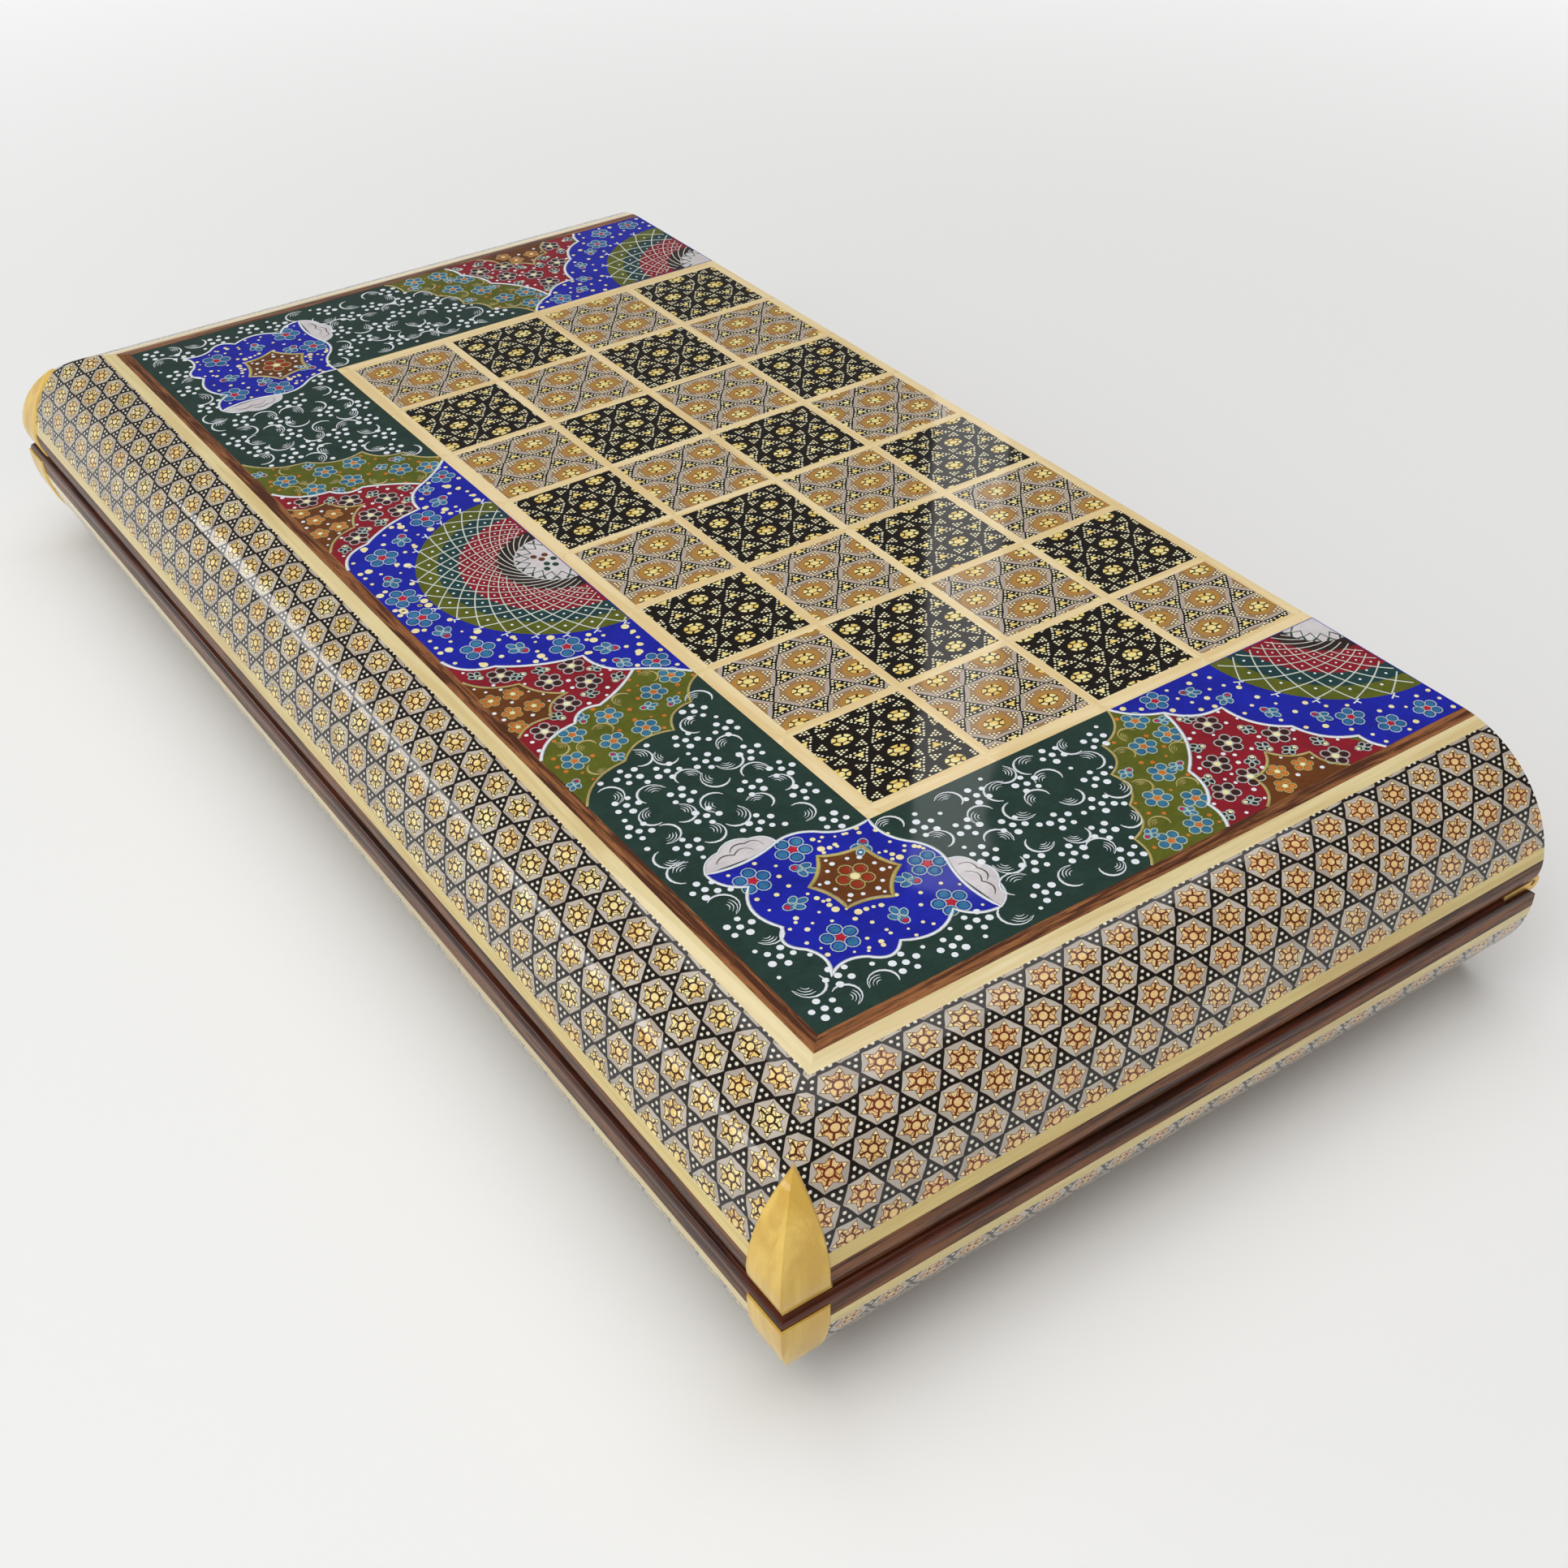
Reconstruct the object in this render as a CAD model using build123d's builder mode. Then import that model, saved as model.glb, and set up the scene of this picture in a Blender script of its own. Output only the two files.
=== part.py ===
"""Folding chess and backgammon board: two inlaid trays joined by a continuous hinge.

Sizes are in millimetres. The closed case rests on its lower chess face, with +Z up and the origin
in the middle of its footprint. X runs across the case towards the hinge and Y along the hinge.
Both trays are drawn once, with their seam on the plane z = 0 and their chess face up. The upper
tray is lifted to its place, and the lower one is its twin, turned end over end about X.
"""
import math
import os

from build123d import *

# Chess field of one tray
square_side = 35.8
separator = 3.1  # light strip between two squares
frame_strip = 5.0  # light strip between the squares and the painted panel
hinge_strip = 3.4  # light strip between the last squares and the hinge face
files = 4  # squares across one tray
ranks = 8  # squares along one tray

# Border and height of one tray
painted_band = 55.6  # width of the painted panel outside the frame strip
edge_radius = 35.2  # quarter round from the chess face down to the side
half_height = 39.6  # from the chess face to the seam
dark_edge_strip = 4.1
light_edge_strip = 4.2
side_strip = 3.9  # light strip under the mosaic
band_height = {"upper": 9.2, "lower": 7.1}  # walnut band between that strip and the seam
band_depth = 4.6  # how deep the walnut band is let into the rail
seam_inset = 2.3  # how far the upper walnut band draws in at the seam
bead_height = 2.6  # rounded lip round the rim of the lower tray
bead_width = 7.0
bead_round = 2.2

# Thicknesses inside the walls
veneer = 2.0  # inlay and mosaic on the outside
board_thickness = 7.0
field_thickness = 2.0  # inlaid playing surface inside the tray
rail_margin = 1.0  # how far each rail bears under the painted panel
hinge_wall = 16.0

# Corner leaves
leaf_half_width = 9.4  # measured across the corner
leaf_shoulder = 6.0  # height where the sides start to curve in
leaf_top_gap = 7.9  # from the leaf's tip up to the chess face
leaf_proud = 0.6

# Backgammon field
points_across = 6
point_length = 150.0
point_gap = 2.6  # between the bases of two points
notch_cusp = 2.4  # wood left between two notches
checker_rail_depth = 20.0
checker_rail_height = 9.0
point_setback = 1.5  # from the notched rail to a point's base

# Continuous hinge
hinge_gap = 0.3  # between the two hinge faces when the board lies open
hinge_end_inset = 1.5  # from the end of the tray to the end of the hinge
leaf_width = 12.0
leaf_thickness = 1.0
knuckle_count = 16  # an even number, so that the trays' leaves are twins
knuckle_radius = 2.5
knuckle_gap = 0.3  # between one knuckle and the next
knuckle_clearance = 0.2  # round a knuckle, in the other leaf
groove_clearance = 0.3  # round the barrel, in the wood
pin_radius = 0.9
pin_clearance = 0.05
pin_inset = 0.5  # from the end of the barrel to the end of the pin

# Places that follow from the sizes
pitch = square_side + separator
field_length = ranks * square_side + (ranks - 1) * separator
field_width = files * square_side + (files - 1) * separator
grid_length = field_length + 2 * frame_strip
grid_width = frame_strip + field_width + hinge_strip
half_length = grid_length / 2 + painted_band + edge_radius
closed_width = edge_radius + painted_band + grid_width
barrel_reach = hinge_gap / 2 + knuckle_radius
left_x = (leaf_proud - closed_width - barrel_reach) / 2
hinge_x = left_x + closed_width
axis_x = hinge_x + hinge_gap / 2
rail_width = edge_radius + rail_margin
inner_left = left_x + rail_width
inner_right = hinge_x - hinge_wall
inner_end = half_length - rail_width
panel_left = left_x + edge_radius
panel_end = half_length - edge_radius
grid_left = panel_left + painted_band
field_left = grid_left + frame_strip
hinge_half_length = half_length - hinge_end_inset
board_top = half_height - veneer
board_underside = board_top - board_thickness
field_surface = board_underside - field_thickness
round_centre = half_height - edge_radius

places = {
    "upper": Location((0, 0, half_height)),
    "lower": Location((0, 0, half_height), (180, 0, 0)),
}
end_names = {"upper": ("near", "far"), "lower": ("far", "near")}

os.makedirs("parts", exist_ok=True)


def write_piece(piece, half, name):
    """Puts a piece of one tray in its place in the closed case and writes it."""
    placed = piece.moved(places[half])
    placed.label = f"{half}_{name}"
    export_step(placed, f"parts/{placed.label}.step")


def write_twins(piece, name):
    """Writes a piece that both trays have."""
    for half in places:
        write_piece(piece, half, name)


def span(x_low, x_high, y_low, y_high, mode=Mode.ADD):
    """Adds a rectangle given by its edges to the sketch being drawn."""
    with Locations(((x_low + x_high) / 2, (y_low + y_high) / 2)):
        Rectangle(x_high - x_low, y_high - y_low, mode=mode)


# Border sections are drawn as seen along the border: x is the way out from the tray, 0 at its
# widest face and negative inside, and y is the height above the seam.
def draw_round(inset):
    """Draws the border's quarter round, with its straight foot, drawn in by an inset."""
    with Locations((-edge_radius, round_centre)):
        Circle(edge_radius - inset)
    span(-rail_width, -edge_radius, 0, half_height - inset)
    span(-edge_radius, -inset, 0, round_centre)
    span(-rail_width, leaf_proud, 0, half_height, Mode.INTERSECT)


def seam_taper(top, inset):
    """Gives what lies outside the curve that draws the upper tray in at the seam.

    The curve leaves the quarter round, drawn in by an inset, at the height top and in its tangent.
    """
    radius = edge_radius - inset
    rise = max(top - round_centre, 0)
    run = math.sqrt(radius**2 - rise**2)
    start = (run - edge_radius, top)
    foot = (-seam_inset - inset, 0)
    with BuildSketch() as outside:
        with BuildLine():
            TangentArc(start, foot, tangent=(rise, -run))
            Polyline(foot, (edge_radius, 0), (edge_radius, top), start)
        make_face()
    return outside.sketch


def rail_section(half):
    """Gives the section of a border rail, rebated for the walnut band and the bead."""
    with BuildSketch() as section:
        draw_round(veneer)
        span(-band_depth, leaf_proud, 0, band_height[half], Mode.SUBTRACT)
        if half == "lower":
            span(-bead_width, leaf_proud, 0, bead_height, Mode.SUBTRACT)
    return section.sketch


def skin_section(x_low, x_high, z_low, z_high):
    """Gives the part of the veneer over the quarter round that lies in a frame."""
    with BuildSketch() as section:
        draw_round(0)
        with BuildSketch(mode=Mode.PRIVATE) as inside:
            draw_round(veneer)
        add(inside.sketch, mode=Mode.SUBTRACT)
        span(x_low, x_high, z_low, z_high, Mode.INTERSECT)
    return section.sketch


def band_section(half):
    """Gives the section of the walnut band beside the seam."""
    top = band_height[half]
    foot = bead_height if half == "lower" else 0
    with BuildSketch() as section:
        draw_round(0)
        if half == "upper":
            add(seam_taper(top, 0), mode=Mode.SUBTRACT)
        span(-band_depth, 0, foot, top, Mode.INTERSECT)
    return section.sketch


def bead_section():
    """Gives the section of the rounded lip on the rim of the lower tray."""
    with BuildSketch() as section:
        span(-bead_width, 0, 0, bead_height)
        outer = section.vertices().group_by(Axis.X)[-1].sort_by(Axis.Y)[0]
        fillet(outer, min(bead_round, 0.9 * bead_height))
    return section.sketch


def leaf_section(half):
    """Gives the section of a corner leaf, from the rail out to just proud of the veneer."""
    with BuildSketch() as section:
        draw_round(-leaf_proud)
        if half == "upper":
            add(seam_taper(band_height[half], -leaf_proud), mode=Mode.SUBTRACT)
        add(rail_section(half), mode=Mode.SUBTRACT)
        foot = bead_height if half == "lower" else 0
        span(-edge_radius, leaf_proud, foot, half_height, Mode.INTERSECT)
    return section.sketch


side_planes = {
    "long": Plane(origin=(left_x, 0, 0), x_dir=(-1, 0, 0), z_dir=(0, 1, 0)),
    "near": Plane(origin=(0, -half_length, 0), x_dir=(0, -1, 0), z_dir=(-1, 0, 0)),
    "far": Plane(origin=(0, half_length, 0), x_dir=(0, 1, 0), z_dir=(1, 0, 0)),
}


def draw_ground(side):
    """Draws the mitred ground plan of one side of the border."""
    out_x = left_x - leaf_proud
    out_y = half_length + leaf_proud
    if side == "long":
        corners = ((out_x, -out_y), (out_x, out_y), (inner_left, inner_end), (inner_left, -inner_end))
        Polygon(*corners, align=None)
    else:
        way = -1 if side == "near" else 1
        corners = ((out_x, out_y), (inner_left, inner_end), (hinge_x, inner_end), (hinge_x, out_y))
        Polygon(*[(x, way * y) for x, y in corners], align=None)


def border_run(section, side):
    """Runs a section along one side of the tray and mitres it at the corners."""
    with BuildPart() as run:
        with BuildSketch(side_planes[side]):
            add(section)
        extrude(amount=half_length + closed_width, both=True)
        with BuildSketch():
            draw_ground(side)
        extrude(amount=half_height, mode=Mode.INTERSECT)
    return run.part


def leaf_outline(half):
    """Gives a corner leaf as seen from straight out of the corner: straight sides, pointed top."""
    foot = bead_height if half == "lower" else 0
    tip = (0, half_height - leaf_top_gap)
    shoulder = (leaf_half_width, leaf_shoulder)
    with BuildSketch() as outline:
        with BuildLine():
            Polyline((0, foot), (leaf_half_width, foot), shoulder)
            TangentArc(shoulder, tip, tangent=(0, 1))
            mirror(about=Plane.YZ)
        make_face()
    return outline.sketch


def corner_plane(way):
    """Gives the upright plane across a corner of the tray: way is -1 for the near corner."""
    return Plane(
        origin=(left_x, way * half_length, 0), x_dir=(-way, -1, 0), z_dir=(-1, way, 0)
    )


def leaf_blocks(half):
    """Gives the two upright blocks that hold the corner leaves."""
    with BuildPart() as blocks:
        for way in (-1, 1):
            with BuildSketch(corner_plane(way)):
                add(leaf_outline(half))
            extrude(amount=edge_radius, both=True)
    return blocks.part


# Room that the hinge takes in the wood: the mortise of a leaf and the groove of the barrel
with BuildPart() as hinge_seat:
    with BuildSketch(Plane.XZ):
        span(hinge_x - leaf_width, hinge_x, 0, leaf_thickness)
        with Locations((axis_x, 0)):
            Circle(knuckle_radius + groove_clearance)
    extrude(amount=2 * half_length, both=True)

# Border pieces, which differ a little between the trays at the seam
for half in places:
    strip_top = band_height[half] + side_strip
    mosaic_inner = dark_edge_strip + light_edge_strip - edge_radius
    end_of = dict(zip(("near", "far"), end_names[half]))
    end_of["long"] = "long"
    leaves_room = leaf_blocks(half)

    for side in side_planes:
        with BuildPart() as rail:
            add(border_run(rail_section(half), side))
            if side != "long":
                add(hinge_seat.part, mode=Mode.SUBTRACT)
        write_piece(rail.part, half, f"rail_{end_of[side]}")

        with BuildPart() as mosaic:
            add(border_run(skin_section(mosaic_inner, 0, strip_top, half_height), side))
            add(leaves_room, mode=Mode.SUBTRACT)
        write_piece(mosaic.part, half, f"mosaic_{end_of[side]}")

    side_strips = []
    walnut_bands = []
    for side in side_planes:
        with BuildPart() as strip:
            add(border_run(skin_section(-edge_radius, 0, band_height[half], strip_top), side))
            add(leaves_room, mode=Mode.SUBTRACT)
        side_strips.append(strip.part)

        with BuildPart() as band:
            add(border_run(band_section(half), side))
            add(leaves_room, mode=Mode.SUBTRACT)
            if side != "long":
                add(hinge_seat.part, mode=Mode.SUBTRACT)
        walnut_bands.append(band.part)
    write_piece(Compound(side_strips), half, "side_strips")
    write_piece(Compound(walnut_bands), half, "walnut_bands")

    with BuildPart() as corner_leaves:
        for side in side_planes:
            add(border_run(leaf_section(half), side))
        add(leaves_room, mode=Mode.INTERSECT)
    write_piece(corner_leaves.part, half, "corner_leaves")

# Rounded lip on the rim of the lower tray
bead_runs = []
for side in side_planes:
    with BuildPart() as bead:
        add(border_run(bead_section(), side))
        if side != "long":
            add(hinge_seat.part, mode=Mode.SUBTRACT)
    bead_runs.append(bead.part)
write_piece(Compound(bead_runs), "lower", "rim_bead")

# Edge strips between the painted panel and the mosaic
strip_edges = {
    "dark_edge_strips": (-edge_radius, dark_edge_strip - edge_radius),
    "light_edge_strips": (dark_edge_strip - edge_radius, mosaic_inner),
}
for name, (inner, outer) in strip_edges.items():
    section = skin_section(inner, outer, round_centre, half_height)
    write_twins(Compound([border_run(section, side) for side in side_planes]), name)

# Board between the rails, carried by the hinge rail on its fourth side
with BuildPart() as board:
    with BuildSketch(Plane.XY.offset(board_underside)):
        span(inner_left, hinge_x, -inner_end, inner_end)
    extrude(amount=board_thickness)
write_twins(board.part, "board")

# Plain rail on the hinge side
with BuildPart() as hinge_rail:
    with BuildSketch():
        span(inner_right, hinge_x, -inner_end, inner_end)
    extrude(amount=board_underside)
    add(hinge_seat.part, mode=Mode.SUBTRACT)
write_twins(hinge_rail.part, "hinge_rail")

# Painted panel, open towards the hinge, where the chess field runs out to the edge
with BuildPart() as painted_panel:
    with BuildSketch(Plane.XY.offset(board_top)):
        span(panel_left, hinge_x, -panel_end, panel_end)
        span(grid_left, hinge_x, -grid_length / 2, grid_length / 2, Mode.SUBTRACT)
    extrude(amount=veneer)
write_twins(painted_panel.part, "painted_panel")

# Chess squares, dark at the near left corner, and the light strips between them
squares = {"dark_squares": [], "light_squares": []}
for rank in range(ranks):
    for file in range(files):
        colour = "light_squares" if (rank + file) % 2 else "dark_squares"
        x = field_left + square_side / 2 + file * pitch
        y = -field_length / 2 + square_side / 2 + rank * pitch
        squares[colour].append((x, y))

for name, centres in squares.items():
    with BuildPart() as inlay:
        with BuildSketch(Plane.XY.offset(board_top)):
            with Locations(*centres):
                Rectangle(square_side, square_side)
        extrude(amount=veneer)
    write_twins(inlay.part, name)

with BuildPart() as grid_strips:
    with BuildSketch(Plane.XY.offset(board_top)):
        span(grid_left, hinge_x, -grid_length / 2, grid_length / 2)
        with Locations(*squares["dark_squares"], *squares["light_squares"]):
            Rectangle(square_side, square_side, mode=Mode.SUBTRACT)
    extrude(amount=veneer)
write_twins(grid_strips.part, "grid_strips")

# Backgammon points, six at each end of the tray, let into the playing surface
point_pitch = (inner_right - inner_left) / points_across
base_y = inner_end - checker_rail_depth - point_setback


def draw_points(colour, mode=Mode.ADD):
    """Draws the points of one colour, 0 or 1, at both ends of the tray."""
    for number in range(points_across):
        middle = inner_left + (number + 0.5) * point_pitch
        low = middle - (point_pitch - point_gap) / 2
        high = middle + (point_pitch - point_gap) / 2
        way = 1 if number % 2 == colour else -1
        tip = (middle, way * (base_y - point_length))
        Polygon((low, way * base_y), (high, way * base_y), tip, align=None, mode=mode)


for name, colour in {"light_points": 0, "dark_points": 1}.items():
    with BuildPart() as points:
        with BuildSketch(Plane.XY.offset(field_surface)):
            draw_points(colour)
        extrude(amount=field_thickness)
    write_twins(points.part, name)

with BuildPart() as field_panel:
    with BuildSketch(Plane.XY.offset(field_surface)):
        span(inner_left, inner_right, -inner_end, inner_end)
        draw_points(0, Mode.SUBTRACT)
        draw_points(1, Mode.SUBTRACT)
    extrude(amount=field_thickness)
write_twins(field_panel.part, "field_panel")

# Notched rails that keep the checkers of each point in line
rail_edge = inner_end - checker_rail_depth
notch_radius = (point_pitch - notch_cusp) / 2
for way, name in ((-1, "near"), (1, "far")):
    with BuildPart() as checker_rail:
        with BuildSketch(Plane.XY.offset(field_surface - checker_rail_height)):
            span(inner_left, inner_right, *sorted((way * rail_edge, way * inner_end)))
            with Locations((inner_left + point_pitch * points_across / 2, way * rail_edge)):
                with GridLocations(point_pitch, 1, points_across, 1):
                    Circle(notch_radius, mode=Mode.SUBTRACT)
        extrude(amount=checker_rail_height)
    for half in places:
        end = dict(zip(("near", "far"), end_names[half]))[name]
        write_piece(checker_rail.part, half, f"checker_rail_{end}")

# Continuous hinge: two leaves with knuckles that take turns along one pin
knuckle_pitch = 2 * hinge_half_length / knuckle_count
knuckle_ys = [(k + 0.5) * knuckle_pitch - hinge_half_length for k in range(knuckle_count)]
own_knuckles = [(axis_x, y, 0) for y in knuckle_ys[0::2]]
other_knuckles = [(axis_x, y, 0) for y in knuckle_ys[1::2]]
along_y = (90, 0, 0)
with BuildPart() as hinge_leaf:
    with BuildSketch(Plane.XZ):
        span(hinge_x - leaf_width, axis_x, 0, leaf_thickness)
    extrude(amount=hinge_half_length, both=True)
    with Locations(*other_knuckles):
        Cylinder(
            knuckle_radius + knuckle_clearance,
            knuckle_pitch + knuckle_gap,
            rotation=along_y,
            mode=Mode.SUBTRACT,
        )
    with Locations(*own_knuckles):
        Cylinder(knuckle_radius, knuckle_pitch - knuckle_gap, rotation=along_y)
    with Locations((axis_x, 0, 0)):
        Cylinder(
            pin_radius + pin_clearance,
            2 * hinge_half_length,
            rotation=along_y,
            mode=Mode.SUBTRACT,
        )
write_twins(hinge_leaf.part, "hinge_leaf")

with BuildPart() as hinge_pin:
    with Locations((axis_x, 0, 0)):
        Cylinder(pin_radius, 2 * (hinge_half_length - pin_inset), rotation=along_y)
write_piece(hinge_pin.part, "lower", "hinge_pin")
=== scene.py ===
import itertools
import math
import random

import bpy
from mathutils import Matrix, Vector


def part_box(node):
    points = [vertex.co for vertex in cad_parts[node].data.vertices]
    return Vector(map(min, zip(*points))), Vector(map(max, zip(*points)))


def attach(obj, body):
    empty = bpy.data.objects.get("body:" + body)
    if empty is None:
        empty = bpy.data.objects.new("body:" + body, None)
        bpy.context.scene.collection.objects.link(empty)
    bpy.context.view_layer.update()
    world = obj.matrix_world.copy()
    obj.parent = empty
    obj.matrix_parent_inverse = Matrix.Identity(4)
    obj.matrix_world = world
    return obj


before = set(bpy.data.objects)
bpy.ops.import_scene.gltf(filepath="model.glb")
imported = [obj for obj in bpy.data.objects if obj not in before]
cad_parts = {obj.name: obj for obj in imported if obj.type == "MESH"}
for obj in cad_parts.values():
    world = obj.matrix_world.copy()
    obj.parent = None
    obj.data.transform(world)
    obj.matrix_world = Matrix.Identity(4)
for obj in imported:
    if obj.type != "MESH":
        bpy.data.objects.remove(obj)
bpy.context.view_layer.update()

bpy.ops.object.select_all(action="DESELECT")

# The view
# The board lies closed on the floor. The camera looks down on its near left corner from
# about forty centimetres above the floor, with a normal lens, and shows the whole case.
camera_place = (-0.28129, -0.48087, 0.40259)
camera_turn = [math.radians(degrees) for degrees in (52.3644, 0.7463, -34.8571)]
camera_lens = 46.53
bpy.ops.object.camera_add(location=camera_place, rotation=camera_turn)
bpy.context.object.data.lens = camera_lens
bpy.context.scene.camera = bpy.context.object
bpy.context.scene.view_settings.view_transform = "Standard"

# The studio
# A plain pale floor that turns white away from the board, a white backdrop under a calm dome,
# and large soft boxes. Two slim ones are placed for the long gleam on the rounded border.


def add_node(tree, kind, sockets=None, **settings):
    """A shader node with its settings, and its sockets set to values or linked to other nodes."""
    made = tree.nodes.new("ShaderNode" + kind)
    for name, value in settings.items():
        setattr(made, name, value)
    for socket, value in (sockets or {}).items():
        if isinstance(value, bpy.types.NodeSocket):
            tree.links.new(value, made.inputs[socket])
        else:
            made.inputs[socket].default_value = value
    return made


def tree_of(*values):
    """The node tree of the first value that comes out of a node."""
    return next(value.id_data for value in values if isinstance(value, bpy.types.NodeSocket))


def calc(operation, *values):
    """One step of arithmetic on numbers."""
    return add_node(tree_of(*values), "Math", dict(enumerate(values)), operation=operation).outputs[0]


def vector_calc(operation, *values):
    """One step of arithmetic on vectors, or their length or distance as a number."""
    made = add_node(tree_of(*values), "VectorMath", dict(enumerate(values)), operation=operation)
    return made.outputs["Value" if operation in ("LENGTH", "DISTANCE") else "Vector"]


def ramp(value, low, high, start=0.0, end=1.0, kind="SMOOTHSTEP"):
    """Goes from start to end while the value rises from low to high."""
    return add_node(value.id_data, "MapRange", {
        "Value": value, "From Min": low, "From Max": high, "To Min": start, "To Max": end,
    }, interpolation_type=kind).outputs["Result"]


floor_size = 40
floor_pale, floor_white = 0.3, 1.3
bpy.ops.mesh.primitive_plane_add(size=floor_size)
floor = bpy.context.object
floor.name = "floor"
floor_finish = bpy.data.materials.new("floor_paper")
floor_finish.use_nodes = True
paper = floor_finish.node_tree
pale_paper = paper.nodes["Principled BSDF"]
pale_paper.inputs["Base Color"].default_value = (0.86, 0.86, 0.85, 1)
pale_paper.inputs["Roughness"].default_value = 0.9
pale_paper.inputs["Specular IOR Level"].default_value = 0.1
white_paper = add_node(paper, "Emission", {"Color": (1, 1, 1, 1), "Strength": 1.0})
floor_reach = vector_calc("LENGTH", add_node(paper, "TexCoord").outputs["Object"])
rays = add_node(paper, "LightPath").outputs
shown = calc("ADD", calc("ADD", rays["Is Camera Ray"], rays["Is Glossy Ray"]), rays["Is Transmission Ray"])
white_share = calc("MULTIPLY", shown, ramp(floor_reach, floor_pale, floor_white))
floor_look = add_node(paper, "MixShader", {
    0: white_share, 1: pale_paper.outputs["BSDF"], 2: white_paper.outputs["Emission"],
}).outputs["Shader"]
paper.links.new(floor_look, paper.nodes["Material Output"].inputs["Surface"])
floor.data.materials.append(floor_finish)

low_light, high_light = 0.42, 0.08
world = bpy.data.worlds.new("studio")
bpy.context.scene.world = world
world.use_nodes = True
dome = world.node_tree
dome_way = add_node(dome, "TexCoord").outputs["Generated"]
dome_rise = add_node(dome, "SeparateXYZ", {"Vector": dome_way}).outputs["Z"]
dome_light = ramp(dome_rise, 0.0, 0.42, low_light, high_light, "LINEAR")
near_horizon = ramp(dome_rise, 0.0, 0.3, 1.0, 0.0)
rays = add_node(dome, "LightPath").outputs
bounced = calc("ADD", rays["Is Glossy Ray"], rays["Is Transmission Ray"])
shown = calc("MULTIPLY_ADD", bounced, near_horizon, rays["Is Camera Ray"])
dome_strength = add_node(dome, "Mix", {0: shown, 2: dome_light, 3: 1.0}).outputs[0]
dome.links.new(dome_strength, dome.nodes["Background"].inputs["Strength"])
dome.nodes["Background"].inputs["Color"].default_value = (1, 1, 1, 1)


def soft_box(name, place, aim, width, height, power, mirrored=True):
    """A soft box light at a place, turned to a point on the board, mirrored in the lacquer or not."""
    bpy.ops.object.light_add(type="AREA", location=place)
    light = bpy.context.object
    light.name = name
    light.rotation_euler = (Vector(aim) - Vector(place)).to_track_quat("-Z", "Y").to_euler()
    light.data.shape = "RECTANGLE"
    light.data.size = width
    light.data.size_y = height
    light.data.energy = power
    light.visible_glossy = mirrored


board_middle = (0, 0, 0.04)
soft_box("box_left", (-1.7, -0.5, 1.5), board_middle, 1.5, 2.4, 21, mirrored=False)
soft_box("box_near", (-0.5, -2.1, 1.35), board_middle, 2.0, 1.2, 9, mirrored=False)
soft_box("box_above", (-0.1, 0.1, 3.2), board_middle, 4.0, 4.0, 87)
soft_box("strip_long_side", (-1.20, 1.14, 0.66), (-0.12, -0.05, 0.06), 1.1, 0.16, 2.4)
soft_box("strip_top", (1.013, 1.044, 1.06), (0.1, 0, 0.07), 0.085, 0.62, 0.16)

# Carcass rails and boards
# Four rails joined at the mitres and a thin board let in between them, of pale poplar that
# only shows at the rims and the hinge side. All wood here is lacquered many times over.
mm = 0.001
lacquer_depth = 0.08
wood_relief = 0.04


def paint_colour(red, green, blue):
    """A colour read as screen values from 0 to 255, as the linear colour that a shader takes."""
    shares = [value / 255 for value in (red, green, blue)]
    return [s / 12.92 if s < 0.04045 else ((s + 0.055) / 1.055) ** 2.4 for s in shares] + [1]


def new_group(name, inputs, outputs):
    """An empty shader node group with named sockets, and its inner ends."""
    group = bpy.data.node_groups.new(name, "ShaderNodeTree")
    for socket, (kind, value) in inputs.items():
        made = group.interface.new_socket(socket, in_out="INPUT", socket_type="NodeSocket" + kind)
        if value is not None:
            made.default_value = value
    for socket, kind in outputs.items():
        group.interface.new_socket(socket, in_out="OUTPUT", socket_type="NodeSocket" + kind)
    return group, group.nodes.new("NodeGroupInput").outputs, group.nodes.new("NodeGroupOutput").inputs


def give(result, **values):
    """Leads values to the outputs of those names in a group."""
    for socket, value in values.items():
        value.id_data.links.new(value, result[socket])


def use_group(tree, group, sockets=None):
    """Places a node group in a material or another group, with values of its own."""
    return add_node(tree, "Group", sockets, node_tree=group).outputs


def noise(place, scale, detail, **more):
    """A cloudy noise over a place."""
    sockets = {"Vector": place, "Scale": scale, "Detail": detail, **more}
    return add_node(place.id_data, "TexNoise", sockets).outputs


def split(vector):
    """A vector's X, Y and Z."""
    return add_node(vector.id_data, "SeparateXYZ", {"Vector": vector}).outputs


def combined(*values):
    """A vector of numbers."""
    return add_node(tree_of(*values), "CombineXYZ", dict(enumerate(values))).outputs[0]


def blend_colours(share, *colours):
    """The second colour over the first by a share from 0 to 1; bare colours are screen values."""
    first, second = (paint_colour(*colour) if isinstance(colour, tuple) else colour for colour in colours)
    sockets = {0: share, 6: first, 7: second}
    return add_node(tree_of(share, first, second), "Mix", sockets, data_type="RGBA").outputs[2]


def blend_places(share, first, second):
    """The second place instead of the first by a share from 0 to 1."""
    sockets = {0: share, 4: first, 5: second}
    return add_node(tree_of(share, first, second), "Mix", sockets, data_type="VECTOR").outputs[1]


def step_down(value, limit, softness):
    """1 below the limit and 0 above it, with a soft edge."""
    return ramp(value, limit - softness, limit + softness, 1.0, 0.0)


def inverse(mask):
    """1 where the mask is 0."""
    return calc("SUBTRACT", 1.0, mask)


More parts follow.
